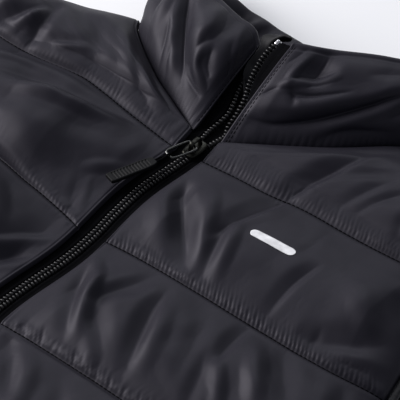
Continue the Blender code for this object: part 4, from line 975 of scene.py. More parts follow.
def collarPiece(steps, seed):
    at = np.concatenate([np.linspace(0, 1, 152, endpoint=False), np.linspace(1, 3, 152, endpoint=False),
                         np.linspace(3, 4, 153)])
    up = np.linspace(0, 1, 89)
    middle, normal = collarMiddle(at, up)
    place = np.where(at <= 2, at, 4 - at)
    flat = np.stack(np.broadcast_arrays(place[None] * collarShape["length"],
                                        up[:, None] * collarShape["height"]), axis=-1)
    folds = np.zeros(flat.shape[:2])
    scale = np.array((collarShape["length"], collarShape["height"]))
    for word, chosen in (("left", at <= 2), ("right", at > 2)):
        table = [(np.array(line) * scale, *rest) for line, *rest in collarCreases[word]]
        folds[:, chosen] = blurred(creaseHeights(flat[:, chosen], table), 1)
    slow = softNoise(folds.shape, (5, 24), seed) * 0.6
    ends = np.clip((place - 0.02) / 0.1, 0, 1) ** 0.6
    # the right half rolls down towards the zip
    turned = smoothStep((up - 0.15) / 0.4)[:, None] * np.where(at > 2, 1.0, 0.0)
    fall = smoothStep(place / collarShape["rollWide"]) * (1 - smoothStep((place - 0.3) / 0.4))
    folds = folds + collarShape["rollDrop"] * fall * turned
    full = swelling(up, 0.7)[:, None] * ends
    fullIn = swelling(up)[:, None] * np.clip((place - 0.05) / 0.12, 0, 1) ** 0.6
    outer = middle + normal * (layers["seamHalf"] + (collarShape["puff"] + folds + slow) * full)[..., None]
    inner = middle - normal * (layers["seamHalf"] + collarShape["puff"] * fullIn)[..., None]
    inner = inner + normal * (np.minimum(folds, 0) * 0.6 * full)[..., None]
    behind = np.stack(np.broadcast_arrays((at[None] - 2) * scale[0], up[:, None] * scale[1]), axis=-1)
    table = [(np.array(line) * scale, *rest) for line, *rest in collarCreases["inside"]]
    inFull = np.minimum(swelling(up, 0.6)[:, None] + 0.35, 1)
    inner = inner - normal * (creaseHeights(behind, table) * inFull
                              * smoothStep(up / 0.2)[:, None])[..., None]
    # a rolled top edge
    rolled = sum(high * np.exp(-((up - at) / wide) ** 2) for high, at, wide in collarShape["edgeRoll"])
    outer = outer + normal * rolled[:, None, None]
    for face in (outer, inner):
        face[..., 2] = np.maximum(face[..., 2], collarShape["leastZ"])
    # its lower edge meets the front's neck edge in a narrow sunk seam
    meets = outer[0].copy()
    for chosen, top in ((at <= 1.15, leftTop), (at >= 2.85, rightTop)):
        inNeck = (frontRows[:, 0] == len(frontRowPlan) - 1) & (frontRows[:, 1] >= body["neckStart"])
        neckRows = top[inNeck][:, 0]
        keys = np.linspace(0, 1, len(neckRows))
        meets[chosen] = smoothCurve(keys, neckRows, np.minimum(place[chosen], 1))
    towards = unit(np.column_stack([(outer[0] - meets)[:, :2], np.zeros(len(at))]))
    meets = meets + towards * collarShape["seamGap"] + (0, 0, -collarShape["seamSink"])
    weight = np.exp(-((up * collarShape["height"]) / collarShape["seamReach"]) ** 2)[:, None]
    weight = weight * (1 - smoothStep((place - 1) / 0.15))
    outer = outer + weight[..., None] * (meets - outer[0])[None]
    free = np.ones(folds.shape)
    free[0] = free[-1] = 0
    free *= np.clip((place - 0.03) / 0.02, 0, 1)
    above = up[:, None] * collarShape["height"]
    arc = place * collarShape["length"] * np.where(at <= 2, 1, -1)
    wave, reach = puckers(arc[None, :] + 0 * above, above, seed + 3, pitch=4.2, slant=0.2)
    pucker = wave * np.exp(-(above / (3.0 * reach)) ** 2) * np.clip(above / 1.5, 0, 1) * ends
    outer += normal * (pucker * collarShape["puckerHeight"])[..., None]
    grow = 0.001 + 0.008 * np.exp(-above / 4.0) + np.zeros(folds.shape)
    if steps:
        outer = settle(outer, free, grow, np.full(grow.shape, 0.001), steps, seed + 5,
                       bend=(0.25, 0.3), stir=0.03, push=0.006)
    made = closedShell("collarShell", outer, inner[::2, ::2], finishes["shell"], 2, 1)
    standsFor("collar")
    return outer


collarOuter = collarPiece(steps // 2, 61)
print("collar settled", round(time.time() - started, 1))


# Back
backForm = {
    "crease": 0.7,          # the back's creases against the fronts'
    "sideFall": 32,
    "shoulderFall": 34,
    "full": (26, 0.7),      # mm from the side to its full swell, and the power of the curve
    "wander": 0.8,
    "foldShare": 0.6,       # the creases and the wander against the swell
    "puckerPitch": 9.0,
    "puckerReach": 7,
    "puckerHeight": 0.5,
}


def backPiece(seed):
    across = np.sin(np.linspace(-1, 1, 161) * math.pi / 2) * 0.3 + np.linspace(-1, 1, 161) * 0.7
    plan = [rowShares(8, 3, 2, 40.0)] + [rowShares(24, 5, 4, 88.0)] * 6 + [rowShares(36, 5, 5, 100.0)]
    rows = bodyRows(plan)
    quilt, tip, highShoulder = body["quiltY"], body["shoulderTip"], body["highShoulder"]
    baffle, share = rows[:, 0].astype(int), rows[:, 1]
    low = quilt[baffle]
    high = np.append(quilt[1:], 0)[baffle]
    y = low + share * (high - low)
    rise = body["quiltRise"] * np.clip((y - body["hemY"]) / 60, 0, 1)
    flat = np.stack([across * edgeAt(y + rise)[:, :1], y[:, None] + rise[:, None] * np.abs(across)], axis=-1)
    place = across * tip[1][0]
    topY = np.zeros(len(place))
    for side in (1, -1):
        mine = place >= 0 if side > 0 else place < 0
        (tipX, tipY), (hpsX, hpsY) = tip[side], highShoulder[side]
        shoulderY = hpsY + (np.abs(place) - hpsX) / (tipX - hpsX) * (tipY - hpsY)
        turn = 1 + np.arccos(np.clip(np.abs(place) / hpsX, 0, 1)) / (math.pi / 2)
        found = np.where(np.abs(place) > hpsX, shoulderY, neckSeam(side, turn)[:, 1])
        topY[mine] = found[mine]
    top = np.column_stack([place, topY])
    bottomY = quilt[-1] + body["quiltRise"] * np.abs(across)
    bottomRow = np.column_stack([across * edgeAt(quilt[-1] + body["quiltRise"])[0], bottomY])
    last = baffle == len(quilt) - 1
    upper = bottomRow + (top - bottomRow) * share[last][:, None, None]
    left, right = edgeAt(upper[:, -1, 1])[:, 0], edgeAt(upper[:, 0, 1], -1)[:, 0]
    upper[..., 0] *= np.where(upper[..., 0] < 0, (right / np.abs(upper[:, 0, 0]))[:, None],
                              (left / upper[:, -1, 0])[:, None])
    flat[last] = upper
    toSeam = np.full(flat.shape[:2], 200.0)
    toSeam[last] = (1 - share[last])[:, None] * 80 + 40 * (np.abs(place) < highShoulder[1][0])
    half = np.where(flat[..., 0] < 0, -flat[:, :1, 0], flat[:, -1:, 0])
    fromEdge = half - np.abs(flat[..., 0])
    edgeZ = edgeAt(flat[:, -1, 1])[:, 2][:, None]
    form = backForm
    toEdge, over = falling(fromEdge, form["sideFall"]), falling(toSeam, form["shoulderFall"])
    middle = layers["backZ"] + (edgeZ - layers["backZ"]) * toEdge
    middle = middle + (outerEdge[-1, 3] - middle) * over * (1 - toEdge)
    wide, power = form["full"]
    full = swelling(share, 0.7)[:, None] * np.clip(fromEdge / wide, 0, 1) ** power
    folds = creaseHeights(flat, hiddenCreases(1, seed) + hiddenCreases(-1, seed + 1)) * form["crease"]
    slow = softNoise(flat.shape[:2], (20, 18), seed + 2) * form["wander"]
    gaps = baffleHeights(rows, body["backYokeTop"])
    above = (share * gaps)[:, None]
    pucker = np.zeros(flat.shape[:2])
    for k in range(len(plan)):
        chosen = baffle == k
        wave, reach = puckers(flat[chosen][..., 0] * 0.9, above[chosen], seed + 10 + k,
                              pitch=form["puckerPitch"])
        fall = np.exp(-(above[chosen] / (form["puckerReach"] * reach)) ** 2)
        pucker[chosen] = wave * fall * np.clip(above[chosen] / 2, 0, 1)
    outwardRise = (layers["backDown"] + (folds + slow) * form["foldShare"]) * full
    outwardRise = outwardRise + pucker * form["puckerHeight"]
    bottom = np.dstack([flat, np.maximum(middle - layers["seamHalf"] - outwardRise, 0)])
    inside = np.dstack([flat, middle + layers["seamHalf"] + layers["backUp"] * full])
    made = closedShell("backShell", bottom, inside[::4, ::4], finishes["shell"], 4, -1)
    standsFor("back_panel")


backPiece(81)
print("back ready", round(time.time() - started, 1))


# Shapes that the small hard and woven pieces share
def ringFaces(count, sides, closed):
    # quads between `count` rings of `sides` points, with end caps unless closed
    index = np.arange(count * sides).reshape(count, sides)
    after = np.roll(index, -1, axis=0) if closed else index[1:]
    index = index if closed else index[:-1]
    faces = np.stack([index, np.roll(index, -1, axis=1), np.roll(after, -1, axis=1), after],
                     axis=-1).reshape(-1, 4).tolist()
    if not closed:
        last = (count - 1) * sides
        faces += [list(range(sides))[::-1], list(range(last, last + sides))]
    return faces


def sweep(path, section, closed=False, scale=None, lift=(0, 0, 1)):
    # a section (sideways, upwards) carried along a path, one section for all or one a point
    path, section = np.asarray(path, float), np.asarray(section, float)
    if closed:
        along = np.roll(path, -1, axis=0) - np.roll(path, 1, axis=0)
    else:
        along = np.gradient(path, axis=0)
    side = unit(np.cross(along, lift))
    up = unit(np.cross(side, along))
    if section.ndim == 2:
        section = np.repeat(section[None], len(path), axis=0)
    if scale is not None:
        section = section * np.asarray(scale, float)[:, None, None]
    rings = path[:, None] + side[:, None] * section[..., :1] + up[:, None] * section[..., 1:]
    return rings.reshape(-1, 3), ringFaces(len(path), section.shape[1], closed)


def merged(parts):
    # several points-and-faces pairs as one
    points, faces, total = [], [], 0
    for places, found in parts:
        points.append(places)
        faces += [[i + total for i in face] for face in found]
        total += len(places)
    return np.vstack(points), faces


def oval(sides, across, high, power=1.0):
    turn = np.linspace(0, 2 * math.pi, sides, endpoint=False)
    bend = lambda v: np.sign(v) * np.abs(v) ** power
    return np.stack([across * bend(np.cos(turn)), high * bend(np.sin(turn))], axis=-1)


def slab(name, top, bottom, finish, bodyName="vest"):
    # a closed piece between two grids of the same size
    rows, columns = top.shape[:2]
    points = np.concatenate([top.reshape(-1, 3), bottom.reshape(-1, 3)])
    index = np.arange(rows * columns).reshape(rows, columns)
    under = index + rows * columns
    quads = quadFaces(rows, columns)
    faces = quads.tolist() + (quads[:, ::-1] + rows * columns).tolist()
    for upper, lower in ((index[0], under[0]), (index[:, -1], under[:, -1]),
                         (index[-1][::-1], under[-1][::-1]), (index[::-1, 0], under[::-1, 0])):
        faces += np.stack([upper[1:], upper[:-1], lower[:-1], lower[1:]], axis=-1).tolist()
    made = addMesh(name, points, faces, finish, bodyName)
    normal = np.cross(top[1, 0] - top[0, 0], top[0, 1] - top[0, 0])
    if np.dot(normal, top[0, 0] - bottom[0, 0]) > 0:
        made.data.flip_normals()
    return made


def dense(rows, spacing):
    # the smooth line through rows of points, at even spacing of the first three columns
    keys = np.concatenate([[0], np.cumsum(np.linalg.norm(np.diff(rows[:, :3], axis=0), axis=1))])
    return smoothCurve(keys, rows, np.arange(0, keys[-1] + spacing / 2, spacing))


def rounded(corners, turns):
    # a closed outline with its corners cut over and over
    line = np.asarray(corners, float)
    for _ in range(turns):
        after = np.roll(line, -1, axis=0)
        both = np.stack([0.75 * line + 0.25 * after, 0.25 * line + 0.75 * after], axis=1)
        line = both.reshape(-1, line.shape[1])
    return line


# Their materials
# near black: the tape's own black, made darker still as painted shade of the groove beside the teeth; the
# pull cord uses it too
def wovenTapeAndGrooveShade():
    made, tree, shader, place = newFinish("wovenTapeAndGrooveShade", (0.0016, 0.0016, 0.0022), 0.9, specular=0.04)
    tinted(tree, place, shader, (0.0012, 0.0012, 0.0017), (0.0022, 0.0022, 0.003), 240.0)
    weaveBump(tree, place, shader, 1.1, 0.12)
    return made


def ribbedElastic():
    made, tree, shader, place = newFinish("ribbedElastic", (0.008, 0.008, 0.01), 0.7, sheen=0.05,
                                          specular=0.25)
    tinted(tree, place, shader, (0.006, 0.006, 0.008), (0.011, 0.011, 0.0135), 120.0)
    weaveBump(tree, place, shader, 0.9, 0.16)
    return made


# painted shade: the flap gets about half the shell's base colour, so that it reads as the shade in the
# groove beside the teeth
def flapNylonPaintedShade():
    made, tree, shader, place = newFinish("flapNylonPaintedShade", (0.0052, 0.005, 0.0068), 0.6, specular=0.2)
    tinted(tree, place, shader, (0.0046, 0.0044, 0.006), (0.006, 0.0058, 0.0078), 30.0)
    weaveBump(tree, place, shader, 2.4, 0.04)
    return made


def hardFinish(name, colour, roughness, metallic, specular, grain):
    # moulded plastic or cast metal: fine grain, roughness that wanders, slightly mottled tone
    made, tree, shader, place = newFinish(name, colour, roughness, metallic, specular=specular)
    darker, lighter = (tuple(c * k for c in colour) for k in (0.82, 1.18))
    spread = 0.06
    tinted(tree, place, shader, darker, lighter, 180.0)
    tree.links.new(mottle(tree, place, 320.0, roughness - spread, roughness + spread),
                   shader.inputs["Roughness"])
    bump = tree.nodes.new("ShaderNodeBump")
    bump.inputs["Strength"].default_value = 0.3
    bump.inputs["Distance"].default_value = grain * toMetres
    tree.links.new(mottle(tree, place, 1400.0, 0, 1, 2.0), bump.inputs["Height"])
    tree.links.new(bump.outputs["Normal"], shader.inputs["Normal"])
    return made


finishes["tape"] = wovenTapeAndGrooveShade()
finishes["flap"] = flapNylonPaintedShade()
finishes["elastic"] = ribbedElastic()
finishes["teeth"] = hardFinish("mouldedTeeth", (0.009, 0.009, 0.010), 0.38, 0.0, 0.42, 0.02)
finishes["darkMetal"] = hardFinish("darkMetal", (0.022, 0.022, 0.019), 0.34, 1.0, 0.5, 0.02)
finishes["wire"] = hardFinish("wireMetal", (0.075, 0.075, 0.072), 0.24, 1.0, 0.5, 0.02)
finishes["paleMetal"] = hardFinish("paleMetal", (0.62, 0.62, 0.64), 0.24, 1.0, 0.5, 0.01)
finishes["tab"] = hardFinish("mouldedTab", (0.0042, 0.0042, 0.0048), 0.6, 0.0, 0.16, 0.04)
# the thread's own black, made darker than the shell as painted shade of the crevice along each quilt line
finishes["thread"] = hardFinish("sewingThreadAndCreviceShade", (0.0012, 0.0012, 0.0018), 0.85, 0.0, 0.06, 0.03)
finishes["film"] = hardFinish("reflectiveFilm", (0.80, 0.80, 0.82), 0.34, 0.0, 0.5, 0.012)


# Zip
zipShape = {
    "endY": -583.5,
    "toothReach": 2.9,
    "toothHeight": 2.1,
    "toothPitch": 2.45,
    "toothLean": 0.16,
    "closedGap": 0.2,
    "tapeHalf": 0.45,
    "tapeTuck": 3.6,
    "neckOpen": 2.9,
    "open": np.array([  # share of the collar's height, left teeth x and z from the edge, right x and z
        (0.10, -2.4, -1.6, 8.4, -0.6), (0.22, -2.8, -1.8, 9.8, -1.6), (0.38, -5.0, -2.4, 8.5, -2.2),
        (0.54, -9.2, -2.4, 5.5, -2.6), (0.70, -11.5, -2.4, 3.6, -2.6), (0.84, -11.9, -2.4, 3.6, -2.4),
        (0.93, -10.7, -2.2, 3.6, -2.2), (0.99, -9.8, -2.2, 3.6, -2.2)]),
}


def zipLines(side):
    # folded cloth edge, the line the tape reaches to under it, and the middle of the row of teeth
    y = np.concatenate([np.linspace(zipShape["endY"], -60, 22), [-40, -22, -16, -11, -6, 0, 4.5]])
    line = zipAt(y)
    edge = np.column_stack([line[:, 0] + side * body["frontEdge"], y, line[:, 1]])
    under = edge + (side * zipShape["tapeTuck"], 0, 0)
    up = zipShape["open"][:, 0]
    middle, normal = collarMiddle(np.array([0.0, 0.035, 0.1, 3.9, 3.965, 4.0]), up)
    first, second = (0, 1) if side > 0 else (-1, -2)
    collarEdge = middle[:, first] - normal[:, first] * (layers["seamHalf"] + zipShape["tapeHalf"] + 1.2)
    inside = collarEdge + unit(middle[:, second] - middle[:, first]) * zipShape["tapeTuck"]
    edge, under = np.vstack([edge, collarEdge]), np.vstack([under, inside])
    openShare = np.clip((edge[:, 1] + 9) / 12, 0, 1)
    openShare = (openShare * np.where(edge[:, 1] < 7, 1.0 if side > 0 else 0.35, 1))[:, None]
    roundPost = 1.5 * np.clip((edge[:, 1] + 16) / 4, 0, 1)
    line = zipAt(np.minimum(edge[:, 1], 0))
    closed = np.column_stack([line[:, 0] + side * (zipShape["closedGap"] + zipShape["toothReach"] / 2
                                                   + roundPost), edge[:, 1], line[:, 1]])
    opened = edge.copy()
    columns = (1, 2) if side > 0 else (3, 4)
    opened[:-len(up), 0] -= side * zipShape["neckOpen"]
    opened[-len(up):, (0, 2)] += zipShape["open"][:, columns]
    return edge, under, closed * (1 - openShare) + opened * openShare


def zipTape(side):
    word = sideWord(side)
    edge, under, teeth = zipLines(side)
    inner = teeth + unit(edge - teeth) * (zipShape["toothReach"] / 2 + 0.7)
    rows = dense(np.hstack([edge, under, inner]), 2.0)
    edge, under, inner = rows[:, :3], rows[:, 3:6], rows[:, 6:]
    share = np.linspace(0, 1, 9)[None, :, None]
    grid = np.concatenate([under[:, None] * (1 - share[:, :-1:2]) + edge[:, None] * share[:, :-1:2],
                           edge[:, None] * (1 - share) + inner[:, None] * share], axis=1)
    normal = gridNormals(grid)
    normal *= np.sign(normal[..., 2:3])
    half = np.full(grid.shape[:2], zipShape["tapeHalf"])
    half[:, -3:-1] += 0.22   # the woven cord beside the teeth
    half[:, -5] -= 0.12
    made = slab(f"zipTape{word.capitalize()}", grid + normal * half[..., None],
                grid - normal * zipShape["tapeHalf"], finishes["tape"])
    standsFor(f"zip_tape_{word}")


def toothShape():
    # one tooth across x, along y: a rounded bar that wraps the tape's edge, with a thicker head
    reach, high = zipShape["toothReach"] / 2, zipShape["toothHeight"]
    rings = []
    for x, along, height in ((-1.0, 0.5, 0.62), (-0.86, 0.72, 0.9), (-0.35, 0.80, 1.0), (0.2, 0.66, 0.97),
                             (0.7, 0.60, 0.86), (1.0, 0.42, 0.6)):
        ring = oval(10, along, high * height, 0.75)
        rings.append(np.column_stack([np.full(10, x * reach), ring]))
    return np.vstack(rings), ringFaces(6, 10, False)


def zipTeeth(side):
    word = sideWord(side)
    edge, _, teeth = zipLines(side)
    rows = dense(np.hstack([teeth[:-1], edge[:-1]]), zipShape["toothPitch"])
    teeth, edge = rows[:, :3], rows[:, 3:]
    if side < 0:
        teeth, edge = (v[:-1] * 0.5 + v[1:] * 0.5 for v in (teeth, edge))
    outward = unit(edge - teeth)
    along = unit(np.gradient(teeth, axis=0))
    outward = unit(outward - along * zipShape["toothLean"])
    up = unit(np.cross(outward, along)) * side
    along = np.cross(up, outward) * side
    shape, faces = toothShape()
    parts = []
    for place, x, y, z in zip(teeth, outward, along, up):
        parts.append((place + shape[:, :1] * x + shape[:, 1:2] * y + shape[:, 2:] * z, faces))
    made = addMesh(f"zipTeeth{word.capitalize()}", *merged(parts), finishes["teeth"])
    standsFor(f"zip_teeth_{word}")


for madePart in (zipTape, zipTeeth):
    for handed in (1, -1):
        madePart(handed)


def windFlap():
    table = np.array([  # y, then x, y, z from the sewn edge, round the fold, to the free edge
        (-582, -13.5, -582, 17.6, -9, -582, 17.6, -4, -582, 17.6, 1.5, -582, 17.6, 7, -582, 17.6),
        (-300, -13, -300, 17.6, -9, -300, 17.6, -4, -300, 17.6, 2, -300, 17.6, 7.5, -300, 17.6),
        (-26, -13.5, -26, 17.6, -9, -26, 17.6, -4, -26, 17.6, 2, -26, 17.6, 7.5, -26, 17.6),
        (0, -14, 0, 17.6, -9, 0, 17.6, -4, 0, 17.6, 1.5, 0, 17.7, 7, 0, 17.8),
        (20, -15, 20, 20, -10, 20, 20.2, -5, 20, 20.6, 0.5, 20, 21, 5.5, 20, 21.5),
        (30, -15, 30, 23.7, -10, 30, 23.9, -5, 30, 24.3, -0.5, 30, 25.4, 1.8, 31, 29),
        (36, -15, 37, 26.2, -10, 36.5, 26.4, -4.4, 36, 27.2, -2.4, 36, 30, -3.2, 36, 34.4),
        (41, -15, 41, 27.2, -10.5, 41, 27.4, -4.4, 41, 28.2, -3.8, 41, 34.8, -8.4, 41, 38),
        (46, -15, 46, 28.4, -11, 46, 28.6, -5.6, 46, 29.6, -5.2, 46, 37, -10.6, 46, 39.8),
        (54, -14.5, 55, 31, -11.5, 55, 31.2, -6.3, 54.5, 32.2, -5.9, 54, 40, -11, 53.5, 42.6),
        (60, -13.5, 63.5, 32.8, -11, 63.5, 33.2, -6.2, 63, 34.6, -6.2, 61, 43.8, -11.3, 60, 45.4),
        (66, -12.5, 69, 38.5, -10, 69, 39.5, -7.5, 68.5, 41.5, -6.3, 66, 48.3, -14.5, 68, 46.8),
        (72, -7, 72.5, 43, -5.5, 72.5, 44, -4, 72.3, 46, -1.5, 70.2, 52.4, -5.5, 71.7, 49.6),
        (78, 0, 74, 46.5, 1, 74, 47.5, 2, 73.5, 49, 4, 71.2, 53.6, -0.5, 72.5, 52.6),
    ])
    at = np.concatenate([np.linspace(-582, -26, 160, endpoint=False), np.linspace(-26, 78, 150)])
    rows = smoothCurve(table[:, 0], table[:, 1:], at).reshape(len(at), 5, 3)
    count = 37
    keys, share = np.array([0, 0.22, 0.45, 0.72, 1]), np.linspace(0, 1, count)
    grid = np.stack([smoothCurve(keys, row, share) for row in rows])
    normal = gridNormals(grid)
    normal *= np.sign(normal[:, :1, 2:3])
    ripple = softNoise(grid.shape[:2], (60, 4), 91) * 0.25
    grid = grid + normal * (ripple * np.sin(np.pi * share))[..., None]
    half = np.full((len(at), count), 0.42)
    toFold = np.abs(share - np.where(at > 38, 0.73, 0.96)[:, None])
    half += 0.45 * np.exp(-(toFold / 0.035) ** 2) - 0.16 * np.exp(-((toFold - 0.12) / 0.02) ** 2)
    # its finish is darker than the shell's: painted shade of the groove beside the teeth
    made = slab("windFlap", grid + normal * half[..., None], grid - normal * half[..., None],
                finishes["flap"])
    standsFor("wind_flap")


windFlap()


# Slider, stops and box
sliderY = -17.0

pullShape = {
    "hinge": (0.0, -18.6, 29.8),   # x is the zip's at the slider
    "turn": math.radians(17.5),
    "loopLength": 17.5,
    "loopHalf": 4.3,
    "wire": 0.75,
    "cord": 9.0,
    "tabLength": 32.0,
    "tabHalf": ([0, 0.06, 0.2, 0.5, 0.9, 0.97, 1], [2.3, 3.2, 3.85, 3.9, 3.9, 3.75, 3.3]),
    "tabThick": 2.6,
    "tabRim": 0.75,
    "ribsFrom": 4.2,           # from the cord's end of the tab, and from the other
    "ribsTo": 2.2,
    "ribPitch": 2.1,
    "cordHalf": 0.62,
    "rise": (0.8, 2.6),
}


def stacked(outline, levels):
    # a solid from one outline at several heights, each drawn in by its inset: (z, inset)
    outline = np.asarray(outline, float)
    middle = outline.mean(0)
    out = unit(outline - middle)
    rings = [np.column_stack([outline - out * inset, np.full(len(outline), z)]) for z, inset in levels]
    return np.vstack(rings), ringFaces(len(levels), len(outline), False)


def zipSlider():
    y, half = sliderY, 8.2   # its middle and half its length
    x, z = zipAt(y)[0]
    outline = np.array([(-3.4, -half), (3.4, -half), (4.9, -half + 3), (5.4, 1.5), (4.9, half - 2.5),
                        (3.0, half), (-3.0, half), (-4.9, half - 2.5), (-5.4, 1.5), (-4.9, -half + 3)])
    outline = rounded(outline, 2) + (x, y)
    above, below = z + 2.5, z - 2.5
    top = stacked(outline, [(above, 0.25), (above + 0.25, 0), (above + 0.9, 0.0), (above + 1.3, 0.3),
                            (above + 1.6, 0.9), (above + 1.75, 2.0)])
    base = stacked(outline, [(below - 1.3, 1.0), (below - 1.1, 0.4), (below - 0.7, 0), (below - 0.2, 0),
                             (below, 0.3)])
    post = rounded([(x - 0.9, y + 5.8), (x + 0.9, y + 5.8), (x + 0.9, y + 7.7), (x - 0.9, y + 7.7)], 2)
    post = stacked(post, [(below - 0.4, 0), (above + 0.4, 0)])
    parts = [top, base, post]
    for side in (1, -1):   # side walls
        wall = [(x + side * 4.4, y - 5.4, above - 0.4), (x + side * 4.85, y - 2, above - 0.4),
                (x + side * 4.95, y + 1.5, above - 0.4), (x + side * 4.5, y + 5.2, above - 0.4)]
        parts.append(sweep(dense(np.array(wall), 0.8), oval(10, 0.32, 0.75, 0.6)))
    roof = pullShape["hinge"][2] + 2.1
    arch = [(x, y + 5.2, above + 1.0), (x, y + 4.7, above + 2.4), (x, y + 3.4, roof - 0.25),
            (x, y + 0.2, roof), (x, y - 3.0, roof - 0.2), (x, y - 4.5, above + 2.5),
            (x, y - 4.9, above + 1.0)]
    parts.append(sweep(dense(np.array(arch), 0.5), oval(14, 0.72, 1.5, 0.6), lift=(1, 0, 0)))
    made = addMesh("zipSlider", *merged(parts), finishes["darkMetal"])
    standsFor("zip_slider")


zipSlider()


def zipEnds():
    for side, word in ((1, "left"), (-1, "right")):
        _, _, teeth = zipLines(side)
        end, before = teeth[-2], teeth[-3]
        along = unit(end - before)
        middle = end + along * 2.8
        path = middle + np.outer(np.linspace(-2.0, 2.0, 9), along)
        scale = (0.72, 0.92, 1, 1, 0.94, 1, 1, 0.92, 0.72)
        made = addMesh(f"zipStop{word.capitalize()}", *sweep(path, oval(16, 1.55, 1.45, 0.55), scale=scale),
                       finishes["paleMetal"])
        standsFor(f"zip_stop_{word}")
    x, z = zipAt(zipShape["endY"])[0]
    low, high = zipShape["endY"] - 8.5, zipShape["endY"] - 0.3
    outline = rounded([(x - 4.6, low), (x + 4.6, low), (x + 4.6, high), (x - 4.6, high)], 3)
    box = stacked(outline, [(z - 2.2, 0.8), (z - 1.9, 0.2), (z - 1.5, 0), (z + 1.6, 0), (z + 2.1, 0.3),
                            (z + 2.35, 0.9), (z + 2.2, 1.6), (z + 2.2, 2.2)])
    ridges = [sweep(np.array([(x - 3.1, y, z + 2.2), (x, y, z + 2.2), (x + 3.1, y, z + 2.2)]),
                    oval(8, 0.35, 0.4)) for y in (low + 2.4, low + 4.1, low + 5.8)]
    made = addMesh("zipBox", *merged([box, *ridges]), finishes["teeth"])
    standsFor("zip_box")


zipEnds()


# Pull
def pullFrame():
    hinge = np.array(pullShape["hinge"]) + (zipAt(sliderY)[0, 0], 0, 0)
    turn = pullShape["turn"]
    away = np.array((-math.sin(turn), -math.cos(turn), 0.0))
    return hinge, away, np.array((-away[1], away[0], 0.0))


def onPull(along, wide, lift):
    hinge, away, sideways = pullFrame()
    along, wide, lift = (np.asarray(v, float)[..., None] for v in (along, wide, lift))
    return hinge + away * along + sideways * wide + np.array((0, 0, 1.0)) * lift


def pullLoop():
    length, wide = pullShape["loopLength"], pullShape["loopHalf"]
    corners = [(0.0, 0.72), (0.5, 0.96), (0.3 * length, 1.0), (0.7 * length, 0.95), (0.93 * length, 0.86),
               (length, 0.62)]
    outline = corners + [(a, -w) for a, w in corners[::-1]]
    line = rounded([(a, w * wide) for a, w in outline], 3)
    path = onPull(line[:, 0], line[:, 1], 0.05 * np.maximum(line[:, 0], 0))
    made = addMesh("pullLoop", *sweep(path, oval(14, pullShape["wire"], pullShape["wire"]), closed=True),
                   finishes["wire"], "pull")
    standsFor("pull_loop")


def pullTab():
    start = pullShape["loopLength"] + pullShape["cord"]
    length, thick = pullShape["tabLength"], pullShape["tabThick"] / 2
    share = np.concatenate([[0, 0.004, 0.012, 0.025], np.linspace(0.04, 0.96, 117),
                            [0.975, 0.988, 0.996, 1]])
    width = smoothCurve(*pullShape["tabHalf"], share)[:, 0]
    across = np.sin(np.linspace(-1, 1, 31) * math.pi / 2) * 0.35 + np.linspace(-1, 1, 31) * 0.65
    wide = width[:, None] * across[None]
    along = start + share[:, None] * length + 0 * wide
    toEdge = np.minimum(width[:, None] - np.abs(wide), np.minimum(share, 1 - share)[:, None] * length)
    rim, ribsFrom = pullShape["tabRim"], pullShape["ribsFrom"]
    bevel = rim - np.sqrt(np.maximum(rim**2 - np.clip(rim - toEdge, 0, rim) ** 2, 0))
    panel = smoothStep((toEdge - 1.0) / 0.3) * smoothStep((share[:, None] * length - ribsFrom) / 0.4)
    panel = panel * smoothStep(((1 - share[:, None]) * length - pullShape["ribsTo"]) / 0.4)
    ribs = 0.5 + 0.5 * np.cos((share[:, None] * length - ribsFrom) * 2 * math.pi / pullShape["ribPitch"])
    top = thick - bevel * 0.8 - panel * 0.42 + panel * 0.40 * smoothStep(ribs * 1.6 - 0.3)
    bottom = -thick + bevel * 0.8
    rise = pullShape["rise"][0] + (pullShape["rise"][1] - pullShape["rise"][0]) * share[:, None]
    made = slab("pullTab", onPull(along, wide, rise + top), onPull(along, wide, rise + bottom),
                finishes["tab"], "pull")
    standsFor("pull_tab")
    # the doubled cord goes round the loop's end and into the tab
    end = pullShape["loopLength"]
    turns = [(start + 3.5, 0.72, 0.9), (start, 0.75, 0.8), (end + 5, 0.85, 0.9), (end + 2.2, 0.9, 1.7),
             (end + 0.3, 0.75, 2.3), (end - 1.5, 0.2, 1.2), (end - 1.3, -0.5, -0.5),
             (end + 0.4, -0.85, -0.8), (end + 2.2, -0.9, 0.1), (end + 5, -0.85, 0.7),
             (start, -0.75, 0.8), (start + 3.5, -0.72, 0.9)]
    turns = np.array(turns)
    path = dense(onPull(turns[:, 0], turns[:, 1], turns[:, 2]), 0.35)
    twist = 1 + 0.06 * np.sin(np.arange(len(path)) * 1.7)
    section = oval(10, pullShape["cordHalf"], pullShape["cordHalf"])
    cord = addMesh("pullCord", *sweep(path, section, scale=twist), finishes["tape"], "pull")


pullLoop()
pullTab()


# Bindings
bindingShape = {
    "armholeOut": 2.7,              # the roll's middle, out from the cloth's edge
    "hemDown": 2.9,
    "armholeHalf": (2.25, 2.35),    # half its width and height
    "hemHalf": (2.3, 2.3),
    "squareness": 0.8,
    "armholeSpacing": 1.2,
    "hemSpacing": 1.4,
}


def gathers(count, fast, slow):
    # how the elastic swells and narrows along its length
    at = np.arange(count)
    return 1 + 0.05 * np.sin(at * fast) + 0.04 * np.sin(at * slow)


